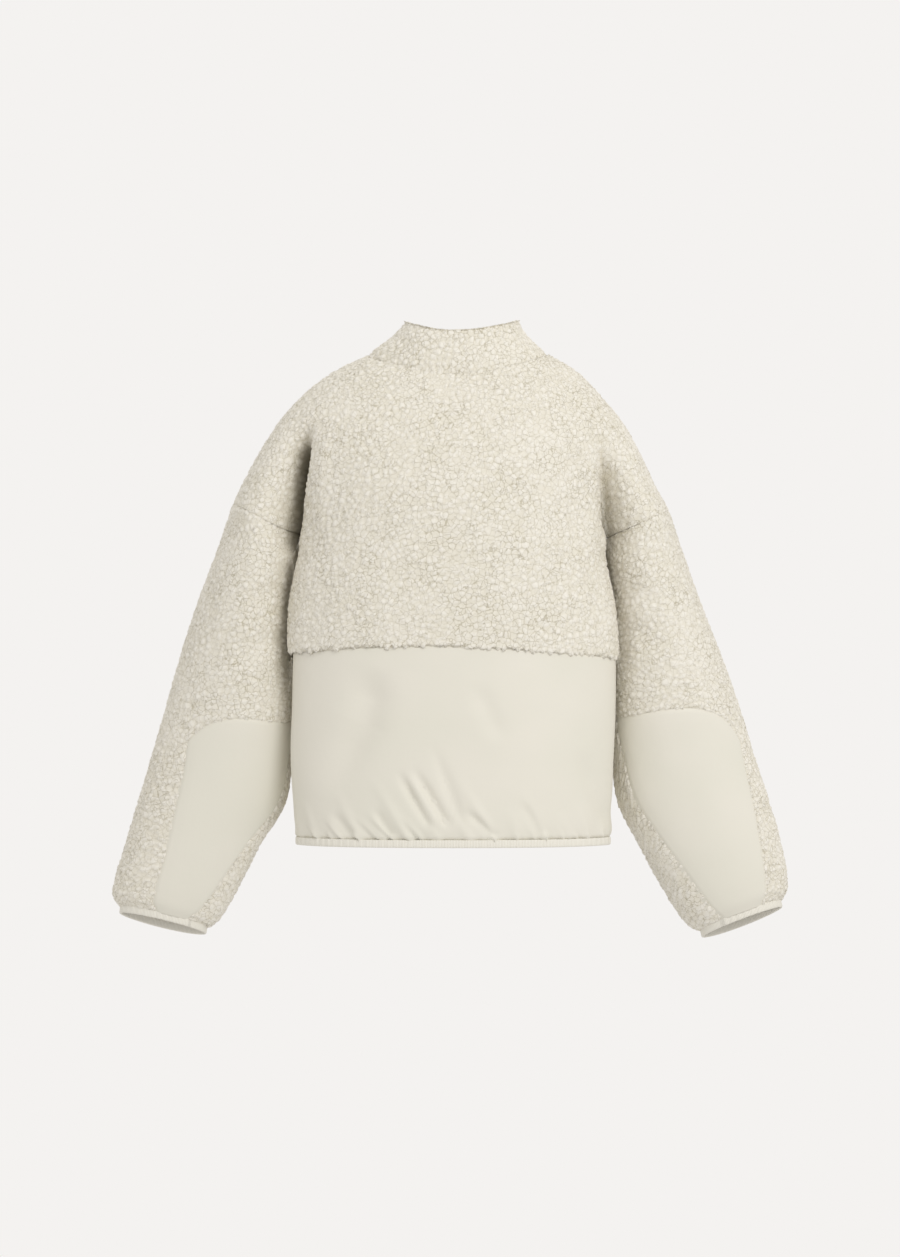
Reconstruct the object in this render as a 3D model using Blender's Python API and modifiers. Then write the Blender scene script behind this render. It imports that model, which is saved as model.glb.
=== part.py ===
"""Sherpa jacket, filled out with no wearer: cloth walls lofted through sections.

Metres, +Z up. The back faces -Y, the zip faces +Y. The origin is the middle of
the neck opening, level with the collar seam at the centre back.
"""
import math

import bmesh
import bpy
import numpy as np
from mathutils import Matrix

# Cloth
SHERPA_WALL = 0.0050
NYLON_WALL = 0.0018
SEAM_SHIFT = 0.00024
SEAM_GAP = 0.0003

# Upper body rings, from the collar seam (t 0) to the armhole seam (t 1)
YOKE_RINGS = 11
TORSO_RINGS = 4
COLLAR_RINGS = 4
BODY_COLUMNS = 11
ARM_COLUMNS = 10
SECTION_POWER = 2.2
TORSO_POWER = 2.4
CREASE_HEAD = 0.46
CREASE_EASE = 1.25
SHARE_FROM = 0.5
LEVEL_FROM_Y = -0.05
LEVEL_RUN_Y = 0.10
MITRE_LIMIT = 1.5

# Underarm
UNDERARM_Z = -0.199
UNDERARM_Y = 0.012
UNDERARM_HALF = 0.012
ARM_DENT = 0.07
ARM_DENT_RUN = 0.055
ARM_HALF_DEPTH = 0.080
UNDERARM_BODY_DEPTH = 0.130
# how full the arm's section stays towards the body: below one keeps it clear of the body
ARM_FILL = 0.70
# which way the sleeve grid's columns face at the underarm: its back, middle and front
UNDERARM_FACING = {0: (0.22, -0.69, -0.69), -1: (0.22, 0.0, -0.975), -2: (0.08, 0.70, -0.70)}

# Lower edge of the sherpa
YOKE_Z = -0.3255
YOKE_ARCH = 0.0100
YOKE_SLOPE = 0.0035
YOKE_HALF_WIDTH = 0.19
BODY_REACH = 0.205
LEVEL_MATCH = 1e-6

# Sleeves and forearm patches
SLEEVE_UPPER_RINGS = 7
SLEEVE_LOWER_RINGS = 9
PATCH_FIRST = 3
PATCH_LAST = 10
PATCH_RECESS = 0.0034
PATCH_TOP_DEPTH = 0.0012
PATCH_WALL = 0.0016
PATCH_MARGIN = 0.0008
CUFF_DROP = 0.22
CUFF_DROP_FROM = 0.70
SPREAD_FROM = 0.25
SPREAD_RUN = 0.30
PATCH_TURN_FROM = 0.45
FRONT_SPREAD = 163.0

# Lower body and hem
HEM_Z = -0.5520
BINDING_HEIGHT = 0.0078
BINDING_WALL = 0.0030
CUFF_BINDING_HEIGHT = 0.0060
CUFF_BINDING_ROOM = 0.0018
BAND_SECTION = ((0.4, 0.0), (0.5, 0.5), (0.3, 1.0), (-0.3, 1.0), (-0.5, 0.5), (-0.4, 0.0))
NYLON_RINGS = (0.0, 0.525, 0.762, 0.862, 0.922, 0.965, 1.0)
COLUMNS_PER_SEGMENT = 4
BODY_HALF_DEPTH = 0.127
GATHER_HALF_WIDTH = 0.0070
GATHER_END_FADE = 0.010

# Zip
PANEL_EDGE_X = 0.0093
TAPE_OUTER_X = 0.0090
TAPE_INNER_X = 0.0032
TAPE_WALL = 0.0012
TAPE_DEPTH = 0.0016
TAPE_STEP = 0.004
SLIDER_WIDTH = 0.0110
SLIDER_LENGTH = 0.0130
SLIDER_PLATE = 0.0015
SLIDER_POST_WIDTH = 0.0048
SLIDER_POST_LENGTH = 0.0060
SLIDER_POST_UP = 0.0020
SLIDER_BEVEL = 0.0004
SLIDER_ROOM = 0.0018
SLIDER_FROM_TOP = 0.0130
BRIDGE_SPAN = 0.0060
BRIDGE_RADIUS = 0.0007
BRIDGE_EAR = (0.0012, 0.0042, 0.0030)
BRIDGE_EAR_OUT = 0.0012
HINGE_OUT = 0.0021
HINGE_UP = 0.0020
TAB_LENGTH = 0.0270
TAB_WIDTH = 0.0042
TAB_WALL = 0.0014
TAB_EYE = 0.0017
TAB_ABOVE_PIN = 0.0020
PIN_ROOM = 0.0003
PIN_SIDES = 12
EYE_SIDES = 16

SHOULDER = np.array([
    # t, left x, left z, right x, right z, back y, back z, front y, front z, valley degrees, body x
    (0.00, 0.0966, 0.0252, 0.1158, 0.0264, 0.072, 0.000, 0.088, -0.052, 35.0, 0.120),
    (0.15, 0.1326, 0.0114, 0.1474, 0.0077, 0.087, -0.022, 0.099, -0.068, 34.0, 0.140),
    (0.35, 0.1746, -0.0180, 0.1814, -0.0269, 0.106, -0.057, 0.110, -0.092, 33.0, 0.165),
    (0.50, 0.2010, -0.0450, 0.2046, -0.0552, 0.117, -0.088, 0.117, -0.113, 34.0, 0.175),
    (0.68, 0.2274, -0.0828, 0.2262, -0.0936, 0.126, -0.127, 0.124, -0.143, 39.0, 0.179),
    (0.84, 0.2478, -0.1188, 0.2430, -0.1290, 0.130, -0.163, 0.128, -0.170, 44.0, 0.183),
    (1.00, 0.2646, -0.1524, 0.2610, -0.1608, 0.131, -0.199, 0.130, -0.199, 49.0, 0.188),
], dtype=[(name, float) for name in (
    "t", "left_x", "left_z", "right_x", "right_z",
    "back_y", "back_z", "front_y", "front_z", "valley", "body_x")])

TORSO = np.array([
    # z, left, right, back, front
    (-0.199, 0.1880, 0.1880, 0.131, 0.130),
    (-0.232, 0.1938, 0.1912, 0.132, 0.130),
    (-0.270, 0.1972, 0.1956, 0.133, 0.129),
    (-0.305, 0.1984, 0.1990, 0.133, 0.128),
    (-0.345, 0.1976, 0.1990, 0.132, 0.127),
], dtype=[(name, float) for name in ("z", "left", "right", "back", "front")])

LOWER_BODY = np.array([
    # z, left, right, back, front
    (-0.3250, 0.1928, 0.1962, 0.1290, 0.1240),
    (-0.3900, 0.1945, 0.1966, 0.1292, 0.1240),
    (-0.4500, 0.1962, 0.1968, 0.1290, 0.1235),
    (-0.5050, 0.1965, 0.1968, 0.1280, 0.1225),
    (-0.5350, 0.1956, 0.1962, 0.1265, 0.1210),
    (-0.5520, 0.1930, 0.1945, 0.1240, 0.1185),
], dtype=[(name, float) for name in ("z", "left", "right", "back", "front")])

COLLAR = np.array([
    # v, left x, left z, right x, right z, back y, back z, front y, front z
    (0.00, 0.0966, 0.0252, 0.1158, 0.0264, 0.072, 0.000, 0.088, -0.052),
    (0.33, 0.0835, 0.0380, 0.1010, 0.0380, 0.070, 0.020, 0.083, -0.032),
    (0.66, 0.0680, 0.0525, 0.0875, 0.0520, 0.066, 0.039, 0.077, -0.012),
    (1.00, 0.0560, 0.0668, 0.0790, 0.0682, 0.061, 0.053, 0.071, 0.008),
], dtype=[(name, float) for name in (
    "v", "left_x", "left_z", "right_x", "right_z", "back_y", "back_z", "front_y", "front_z")])

SLEEVE_NAMES = ("t", "out_x", "out_z", "in_x", "in_z", "depth", "mid_y")
SLEEVES = {
    "left": np.array([
        (0.000, 0.2646, -0.1524, 0.1790, -0.1990, 0.080, 0.012),
        (0.120, 0.2838, -0.2088, 0.1875, -0.2592, 0.080, 0.012),
        (0.237, 0.3042, -0.2628, 0.1885, -0.3192, 0.077, 0.013),
        (0.377, 0.3264, -0.3288, 0.1895, -0.3900, 0.071, 0.015),
        (0.504, 0.3438, -0.3888, 0.1914, -0.4548, 0.066, 0.018),
        (0.640, 0.3636, -0.4572, 0.2020, -0.5184, 0.062, 0.020),
        (0.746, 0.3798, -0.5112, 0.2285, -0.5604, 0.058, 0.020),
        (0.851, 0.3954, -0.5640, 0.2514, -0.6048, 0.054, 0.020),
        (0.935, 0.4085, -0.6090, 0.2755, -0.6480, 0.048, 0.020),
        (0.970, 0.4100, -0.6260, 0.2850, -0.6590, 0.044, 0.020),
        (1.000, 0.4010, -0.6400, 0.2960, -0.6650, 0.037, 0.020),
    ], dtype=[(name, float) for name in SLEEVE_NAMES]),
    "right": np.array([
        (0.000, 0.2610, -0.1608, 0.1790, -0.1990, 0.080, 0.012),
        (0.120, 0.2778, -0.2112, 0.1875, -0.2616, 0.080, 0.012),
        (0.237, 0.2970, -0.2652, 0.1885, -0.3192, 0.077, 0.013),
        (0.377, 0.3222, -0.3300, 0.1895, -0.3900, 0.071, 0.015),
        (0.504, 0.3438, -0.3888, 0.1910, -0.4548, 0.066, 0.018),
        (0.640, 0.3650, -0.4572, 0.1990, -0.5160, 0.062, 0.020),
        (0.746, 0.3820, -0.5088, 0.2235, -0.5640, 0.058, 0.020),
        (0.851, 0.3962, -0.5592, 0.2470, -0.6080, 0.054, 0.020),
        (0.935, 0.4045, -0.6048, 0.2735, -0.6500, 0.048, 0.020),
        (0.970, 0.4040, -0.6200, 0.2850, -0.6620, 0.044, 0.020),
        (1.000, 0.3965, -0.6330, 0.2990, -0.6690, 0.037, 0.020),
    ], dtype=[(name, float) for name in SLEEVE_NAMES]),
}

PATCH_EDGES = {
    # edge angles round the sleeve from its outer line, and where the patch begins along it
    "left": {"outer_top": 50.0, "outer_cuff": 82.0, "inner_top": 172.0, "inner_cuff": 128.0,
             "start_corner": 0.571, "start_middle": 0.480, "start_inner": 0.424},
    "right": {"outer_top": 20.0, "outer_cuff": 60.0, "inner_top": 152.0, "inner_cuff": 118.0,
              "start_corner": 0.590, "start_middle": 0.480, "start_inner": 0.415},
}

GATHERS = np.array([
    # place round the hem (0 centre back, 1 centre front), height, depth, lean
    (0.04, 0.050, 0.0028, 0.5), (0.10, 0.075, 0.0034, 0.6), (0.16, 0.040, 0.0022, 0.4),
    (0.22, 0.060, 0.0028, 0.5), (0.28, 0.034, 0.0020, 0.4), (0.34, 0.046, 0.0024, 0.4),
    (0.40, 0.034, 0.0020, 0.3), (0.46, 0.040, 0.0022, 0.3), (0.52, 0.044, 0.0022, 0.3),
    (0.58, 0.034, 0.0020, 0.3), (0.64, 0.048, 0.0024, 0.3), (0.70, 0.034, 0.0020, 0.4),
    (0.76, 0.044, 0.0024, 0.4), (0.82, 0.036, 0.0020, 0.3), (0.88, 0.046, 0.0022, 0.3),
    (0.94, 0.034, 0.0020, 0.3),
], dtype=[(name, float) for name in ("place", "height", "depth", "lean")])

MATERIALS = {
    # name: colour, roughness, metallic
    "sherpa": ((0.772, 0.733, 0.627), 0.95, 0.0),
    "nylon": ((0.775, 0.740, 0.650), 0.55, 0.0),
    "elastic": ((0.800, 0.765, 0.680), 0.80, 0.0),
    "zip_metal": ((0.620, 0.600, 0.560), 0.35, 1.0),
}


def read(table, column, at, key):
    """Read one column of a table at given keys with a smooth curve through its rows."""
    keys = table[key] if table[key][0] < table[key][-1] else -table[key]
    at = np.asarray(at, float) if table[key][0] < table[key][-1] else -np.asarray(at, float)
    values = table[column]
    slopes = np.gradient(values, keys)
    i = np.clip(np.searchsorted(keys, at, side="right") - 1, 0, len(keys) - 2)
    step = keys[i + 1] - keys[i]
    u = np.clip((at - keys[i]) / step, 0.0, 1.0)
    start = (1 + 2 * u) * (1 - u) ** 2 * values[i] + u * (1 - u) ** 2 * step * slopes[i]
    end = u * u * (3 - 2 * u) * values[i + 1] + u * u * (u - 1) * step * slopes[i + 1]
    return start + end


def ease(value):
    """Go smoothly from 0 to 1 while the value does."""
    value = np.clip(value, 0.0, 1.0)
    return value * value * (3.0 - 2.0 * value)


def powers(angle, power):
    """Cosine and sine of a superellipse's angle."""
    cosine = np.cos(angle)
    sine = np.sin(angle)
    return (np.sign(cosine) * np.abs(cosine) ** (2 / power),
            np.sign(sine) * np.abs(sine) ** (2 / power))


def dent(y):
    """Narrow the body where the arm lies against it, from its back edge forward."""
    return 1.0 - ARM_DENT * ease((y + ARM_DENT_RUN) / ARM_DENT_RUN)


def edge_angle(width, power):
    """Angle at which a section of this half-width reaches the front panel's edge."""
    return np.arccos((PANEL_EDGE_X / width) ** (power / 2))


def torso_angles(width):
    """Angles of the torso's columns from centre back to the front panel's edge."""
    back = np.linspace(-math.pi / 2, 0.0, BODY_COLUMNS + 1)
    side = [math.asin((UNDERARM_Y / UNDERARM_BODY_DEPTH) ** (TORSO_POWER / 2))]
    front_start = math.asin((2 * UNDERARM_Y / UNDERARM_BODY_DEPTH) ** (TORSO_POWER / 2))
    edge = edge_angle(width * (1.0 - ARM_DENT), TORSO_POWER)
    front = np.linspace(front_start, edge, BODY_COLUMNS + 1)
    return np.concatenate([back, side, front])


def torso_section(width, back, front, angles):
    """Half a body section, x outward and y forward."""
    cosine, sine = powers(angles, TORSO_POWER)
    y = np.where(sine < 0, back, front) * sine
    return width * cosine * dent(y), y


def torso_ring(table, z, side):
    """One side's body ring at a level."""
    width = float(read(table, side, z, "z"))
    x, y = torso_section(width, float(read(table, "back", z, "z")),
                         float(read(table, "front", z, "z")), torso_angles(width))
    return x, y


def yoke_level(x):
    """Height of the sherpa's lower edge at a signed distance from the centre line."""
    u = x / YOKE_HALF_WIDTH
    return YOKE_Z - YOKE_ARCH * u * u - YOKE_SLOPE * u


def level_between(back_z, front_z, y):
    """Height of a tilted ring at a place between its back and its front."""
    return back_z + (front_z - back_z) * ease((y - LEVEL_FROM_Y) / LEVEL_RUN_Y)


def smooth_angles(valley, width):
    """Column angles of a whole ring: back, round the shoulder, and front to its edge."""
    return np.concatenate([
        np.linspace(-math.pi / 2, -valley, BODY_COLUMNS + 1),
        np.linspace(-valley, 0.0, ARM_COLUMNS + 1)[1:],
        np.linspace(0.0, valley, ARM_COLUMNS + 1)[1:],
        np.linspace(valley, edge_angle(width, SECTION_POWER), BODY_COLUMNS + 1)[1:]])


def arm_arc(x_back, x_front, x_out, z_in, z_out, depth, mid_y, angles, half):
    """Arm section from the back of the underarm round the outside to its front."""
    cosine, sine = powers(angles, 2.0)
    inner = math.sqrt(1.0 - (half / depth) ** 2)
    radius = (x_out - x_back) / (1.0 + inner)
    out_share = np.clip((x_out - radius + radius * cosine - x_back) / (x_out - x_back), 0.0, 1.0)
    x = x_back + (x_out - x_back) * out_share ** ARM_FILL
    y = mid_y + depth * sine
    share = np.clip((y - mid_y + half) / (2 * half), 0.0, 1.0)
    x = x + (x_front - x_back) * share * (x_out - x) / (x_out - x_back)
    z = z_in + (z_out - z_in) * (x - x_back) / (x_out - x_back)
    return x, y, z


def shoulder_ring(t, side):
    """One side's ring between the collar seam and the armhole seam, as points."""
    row = {name: float(read(SHOULDER, name, t, "t")) for name in SHOULDER.dtype.names}
    width = row[side + "_x"]
    side_z = row[side + "_z"]
    cosine, sine = powers(smooth_angles(math.radians(row["valley"]), width), SECTION_POWER)
    smooth_x = width * cosine
    smooth_y = np.where(sine < 0, row["back_y"], row["front_y"]) * sine
    body = torso_angles(row["body_x"])
    body_x, body_y = torso_section(row["body_x"], row["back_y"], row["front_y"], body)
    tip = math.asin(UNDERARM_HALF / ARM_HALF_DEPTH)
    turn = np.linspace(-math.pi + tip, 0.0, ARM_COLUMNS + 1)[1:]
    turn = np.concatenate([turn, -turn[-2::-1], [math.pi - tip]])
    arm_x, arm_y, _ = arm_arc(body_x[BODY_COLUMNS], body_x[BODY_COLUMNS + 2], width, 0.0, 1.0,
                              ARM_HALF_DEPTH, UNDERARM_Y, turn, UNDERARM_HALF)
    lobed_x = np.concatenate([body_x[:BODY_COLUMNS + 1], arm_x, body_x[BODY_COLUMNS + 3:]])
    lobed_y = np.concatenate([body_y[:BODY_COLUMNS + 1], arm_y, body_y[BODY_COLUMNS + 3:]])
    weight = max(0.0, (t - CREASE_HEAD) / (1.0 - CREASE_HEAD)) ** CREASE_EASE
    x = (1 - weight) * smooth_x + weight * lobed_x
    y = (1 - weight) * smooth_y + weight * lobed_y
    inner = body_x[BODY_COLUMNS]
    share = ease((t - SHARE_FROM) / (1.0 - SHARE_FROM))
    beyond = np.clip((x - inner) / (width - inner), 0.0, 1.0)
    rise = (1 - share) * np.minimum(x / width, 1.0) ** 2 + share * beyond
    middle_z = level_between(row["back_z"], row["front_z"], y)
    z = middle_z + (side_z - middle_z) * rise
    return x, y, z


def collar_ring(v, side):
    """One side's collar ring, from its seam (v 0) to its top (v 1), as points."""
    row = {name: float(read(COLLAR, name, v, "v")) for name in COLLAR.dtype.names}
    width = row[side + "_x"]
    valley = math.radians(float(SHOULDER["valley"][0]))
    cosine, sine = powers(smooth_angles(valley, width), SECTION_POWER)
    x = width * cosine
    y = np.where(sine < 0, row["back_y"], row["front_y"]) * sine
    middle_z = level_between(row["back_z"], row["front_z"], y)
    z = middle_z + (row[side + "_z"] - middle_z) * (x / width) ** 2
    return x, y, z


def sleeve_angles(t, side):
    """Column angles round a sleeve, from the underarm's back over the outside to its front."""
    edges = PATCH_EDGES[side]
    along = ease((t - SPREAD_FROM) / SPREAD_RUN)
    lower = np.clip((t - PATCH_TURN_FROM) / (1.0 - PATCH_TURN_FROM), 0.0, 1.0)
    tip = math.degrees(math.asin(UNDERARM_HALF / ARM_HALF_DEPTH))
    seam = np.linspace(0.0, 180.0 - tip, ARM_COLUMNS + 1)
    outer = edges["outer_top"] + (edges["outer_cuff"] - edges["outer_top"]) * lower
    inner = edges["inner_top"] + (edges["inner_cuff"] - edges["inner_top"]) * lower
    spread = np.concatenate([
        np.linspace(0.0, outer, PATCH_FIRST + 1),
        np.linspace(outer, inner, PATCH_LAST - PATCH_FIRST + 1)[1:]])
    even = np.linspace(0.0, FRONT_SPREAD, ARM_COLUMNS + 1)
    back = (1 - along) * seam + along * spread
    front = (1 - along) * seam + along * even
    return np.radians(np.concatenate([-back[::-1], front[1:], [180.0]]))


def patch_start(column, side):
    """Where along the sleeve the patch's top edge crosses a column."""
    edges = PATCH_EDGES[side]
    place = (ARM_COLUMNS - column - PATCH_FIRST) / (PATCH_LAST - PATCH_FIRST)
    place = min(max(place, 0.0), 1.0)
    corner = (1 - place) ** 4
    base = edges["start_middle"] + (edges["start_inner"] - edges["start_middle"]) * place
    return base + (edges["start_corner"] - edges["start_middle"]) * corner


def sleeve_point(t, angle, side):
    """One point of a sleeve's outer face, x away from the body."""
    row = {name: float(read(SLEEVES[side], name, t, "t")) for name in SLEEVE_NAMES}
    middle_x = (row["out_x"] + row["in_x"]) / 2
    middle_z = (row["out_z"] + row["in_z"]) / 2
    cosine = math.cos(angle)
    y = row["depth"] * math.sin(angle)
    drop = CUFF_DROP * float(ease((t - CUFF_DROP_FROM) / (1.0 - CUFF_DROP_FROM))) * y
    return ((middle_x + (row["out_x"] - middle_x) * cosine),
            row["mid_y"] + y,
            middle_z + (row["out_z"] - middle_z) * cosine - drop)


def sleeve_grid(side, first_ring):
    """Rows of sleeve points; columns run round it and close."""
    rows = [first_ring]
    count = SLEEVE_UPPER_RINGS + SLEEVE_LOWER_RINGS
    columns = len(first_ring)
    for row in range(1, count + 1):
        points = []
        for column in range(columns):
            start = patch_start(column, side)
            if row <= SLEEVE_UPPER_RINGS:
                t = start * row / SLEEVE_UPPER_RINGS
            else:
                t = start + (1 - start) * (row - SLEEVE_UPPER_RINGS) / SLEEVE_LOWER_RINGS
            points.append(sleeve_point(t, sleeve_angles(t, side)[column], side))
        rows.append(np.array(points))
    return np.array(rows)


class Cloth:
    """One welded outer surface, cut into panels that share its normals."""

    def __init__(self):
        self.points = []
        self.index = {}
        self.quads = {}

    def add(self, point):
        key = tuple(int(round(value * 1e7)) for value in point)
        if key not in self.index:
            self.index[key] = len(self.points)
            self.points.append([float(value) for value in point])
        return self.index[key]

    def grid(self, panel, rows, flip):
        """Add a grid of points to a panel as quads."""
        index = [[self.add(point) for point in row] for row in rows]
        for upper, lower in zip(index, index[1:]):
            for a, b, c, d in zip(upper, upper[1:], lower[1:], lower):
                quad = (d, c, b, a) if flip else (a, b, c, d)
                self.quads.setdefault(panel, []).append(quad)

    def normals(self):
        """Vertex normals of the whole surface, weighted by area."""
        points = np.array(self.points)
        total = np.zeros_like(points)
        for quads in self.quads.values():
            corners = np.array(quads)
            diagonal = points[corners[:, 2]] - points[corners[:, 0]]
            other = points[corners[:, 3]] - points[corners[:, 1]]
            face = np.cross(diagonal, other)
            for column in range(4):
                np.add.at(total, corners[:, column], face)
        length = np.linalg.norm(total, axis=1, keepdims=True)
        return points, total / np.maximum(length, 1e-12)


def square_front(points, normals):
    """Keep the walls along the front opening square to it."""
    at_front = (np.abs(np.abs(points[:, 0]) - PANEL_EDGE_X) < 1e-6) & (points[:, 1] > 0)
    normals[at_front, 0] = 0.0
    normals /= np.linalg.norm(normals, axis=1, keepdims=True)
    return normals


def wall_mesh(name, outer, inner, quads, shift):
    """Close a panel's outer and inner faces with a rim, drawn back from its seams."""
    used = sorted({corner for quad in quads for corner in quad})
    place = {corner: number for number, corner in enumerate(used)}
    faces = []
    for quad in quads:
        a, b, c, d = (place[corner] for corner in quad)
        faces += [(a, b, c), (a, c, d)]
    count = len(used)
    outer = outer[used].copy()
    inner = inner[used].copy()
    edges = {}
    for face in faces:
        for a, b in zip(face, face[1:] + face[:1]):
            edges[(a, b)] = face
    rim = [edge for edge in edges if (edge[1], edge[0]) not in edges]
    move = np.zeros_like(outer)
    for a, b in rim:
        face = edges[(a, b)]
        along = outer[b] - outer[a]
        inward = outer[list(face)].mean(axis=0) - (outer[a] + outer[b]) / 2
        inward -= along * (inward @ along) / (along @ along)
        inward /= np.linalg.norm(inward)
        move[a] += inward
        move[b] += inward
    moved = np.linalg.norm(move, axis=1) > 1e-9
    size = np.linalg.norm(move[moved], axis=1, keepdims=True)
    move[moved] = move[moved] / size * shift * np.clip(2.0 / size, 1.0, MITRE_LIMIT)
    outer += move
    inner += move
    all_faces = list(faces)
    all_faces += [tuple(corner + count for corner in reversed(face)) for face in faces]
    for a, b in rim:
        # two panels that meet here split the strip between their faces along the same diagonal
        if a < b:
            all_faces += [(b, a, b + count), (a, a + count, b + count)]
        else:
            all_faces += [(b, a, a + count), (b, a + count, b + count)]
    return make_object(name, np.vstack([outer, inner]), all_faces)


def make_object(name, points, faces):
    """Make a named mesh object from points and faces."""
    mesh = bpy.data.meshes.new(name)
    mesh.from_pydata([tuple(map(float, point)) for point in points], [], faces)
    mesh.validate()
    made = bpy.data.objects.new(name, mesh)
    jacket.objects.link(made)
    return made


def finish(made, material):
    """Give an object its own copy of a material and smooth shading."""
    colour, roughness, metallic = MATERIALS[material]
    own = bpy.data.materials.new(made.name)
    own.use_nodes = True
    shader = own.node_tree.nodes["Principled BSDF"]
    shader.inputs["Base Color"].default_value = (*colour, 1.0)
    shader.inputs["Roughness"].default_value = roughness
    shader.inputs["Metallic"].default_value = metallic
    made.data.materials.append(own)
    made.data.polygons.foreach_set("use_smooth", [True] * len(made.data.polygons))
    return made


def mirrored(points, side):
    """Put a side's points in place: the left side's x is negative."""
    sign = -1.0 if side == "left" else 1.0
    return np.asarray(points, float) * np.array([sign, 1.0, 1.0])


def build_sherpa():
    """Upper body, collar and sleeves, cut from one surface."""
    cloth = Cloth()
    body_end = BODY_COLUMNS
    outer_column = BODY_COLUMNS + ARM_COLUMNS
    front_column = BODY_COLUMNS + 2 * ARM_COLUMNS
    sleeves = {}
    for side in ("left", "right"):
        flip = side == "right"
        rings = [mirrored(np.column_stack(shoulder_ring(t, side)), side)
                 for t in np.linspace(0.0, 1.0, YOKE_RINGS + 1)]
        rings = np.array(rings)
        cloth.grid("upper_back", rings[:, :outer_column + 1], flip)
        cloth.grid("upper_front_" + side, rings[:, outer_column:], flip)
        collar = np.array([mirrored(np.column_stack(collar_ring(v, side)), side)
                           for v in np.linspace(1.0, 0.0, COLLAR_RINGS + 1)])
        cloth.grid("collar", collar, flip)
        split = rings[-1]
        torso = []
        for step in np.linspace(0.0, 1.0, TORSO_RINGS + 1):
            x, y = torso_ring(TORSO, UNDERARM_Z + step * (YOKE_Z - UNDERARM_Z), side)
            low = yoke_level(-x if side == "left" else x)
            z = UNDERARM_Z + step * (low - UNDERARM_Z)
            torso.append(mirrored(np.column_stack([x, y, z]), side))
        torso = np.array(torso)
        torso[0, :body_end + 1] = split[:body_end + 1]
        torso[0, body_end + 2:] = split[front_column:]
        cloth.grid("upper_back", torso[:, :body_end + 2], flip)
        cloth.grid("upper_front_" + side, torso[:, body_end + 1:], flip)
        arm = np.vstack([split[body_end:front_column + 1], torso[0, body_end + 1:body_end + 2]])
        grid = sleeve_grid(side, arm * np.array([-1.0 if side == "left" else 1.0, 1.0, 1.0]))
        grid = mirrored(grid, side)
        sleeves[side] = grid
        closed = np.concatenate([grid, grid[:, :1]], axis=1)
        cloth.grid("sleeve_" + side, closed, flip)
    points, normals = cloth.normals()
    for number, (x, y, z) in enumerate(points):
        if abs(x) < BODY_REACH and abs(z - yoke_level(x)) < LEVEL_MATCH:
            flat = normals[number] * np.array([1.0, 1.0, 0.0])
            normals[number] = flat / np.linalg.norm(flat)
    for side, grid in sleeves.items():
        for column, facing in UNDERARM_FACING.items():
            normals[cloth.add(grid[0, column])] = mirrored(facing, side)
    return cloth, points, square_front(points, normals), sleeves


def patch_columns():
    """Columns that a patch covers, counted from the underarm's back."""
    return range(ARM_COLUMNS - PATCH_LAST, ARM_COLUMNS - PATCH_FIRST + 1)


def build_sleeves(cloth, points, normals, sleeves):
    """Sleeve walls, each with a shallow recess, and the patch that lies in it."""
    inner = points - SHERPA_WALL * normals
    for side, grid in sleeves.items():
        outer = points.copy()
        columns = list(patch_columns())
        rows = list(range(SLEEVE_UPPER_RINGS, SLEEVE_UPPER_RINGS + SLEEVE_LOWER_RINGS + 1))
        lowered = {cloth.add(grid[row, column]) for row in rows for column in columns}
        for number in lowered:
            outer[number] = points[number] - PATCH_RECESS * normals[number]
        made = wall_mesh("sleeve_" + side, outer, inner, cloth.quads["sleeve_" + side],
                         SEAM_SHIFT)
        finish(made, "sherpa")
        flip = side == "right"
        patch = Cloth()
        patch.grid("patch", grid[rows[0]:, columns[0]:columns[-1] + 1], flip)
        number = [cloth.add(point) for point in patch.points]
        top = points[number] - PATCH_TOP_DEPTH * normals[number]
        under = top - PATCH_WALL * normals[number]
        made = wall_mesh("forearm_patch_" + side, top, under, patch.quads["patch"],
                         PATCH_MARGIN)
        finish(made, "nylon")


def nylon_angles(width):
    """Body angles with each column cut into smaller ones for the gathers."""
    coarse = torso_angles(width)
    parts = []
    for number, (start, end) in enumerate(zip(coarse, coarse[1:])):
        cuts = 1 if number in (BODY_COLUMNS, BODY_COLUMNS + 1) else COLUMNS_PER_SEGMENT
        parts.append(np.linspace(start, end, cuts + 1)[:-1])
    parts.append(coarse[-1:])
    return np.concatenate(parts)


def gather_depth(place, height, length, side):
    """How far the gathers push the cloth out at a place round the hem; all lean to the left."""
    total = np.zeros_like(place)
    toward = 1.0 if side == "left" else -1.0
    for row in GATHERS:
        centre = row["place"] * length + toward * row["lean"] * height
        across = (place * length - centre) / GATHER_HALF_WIDTH
        fade = np.clip(1.0 - height / row["height"], 0.0, 1.0)
        total += row["depth"] * fade * np.exp(-across ** 2)
    return total


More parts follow.
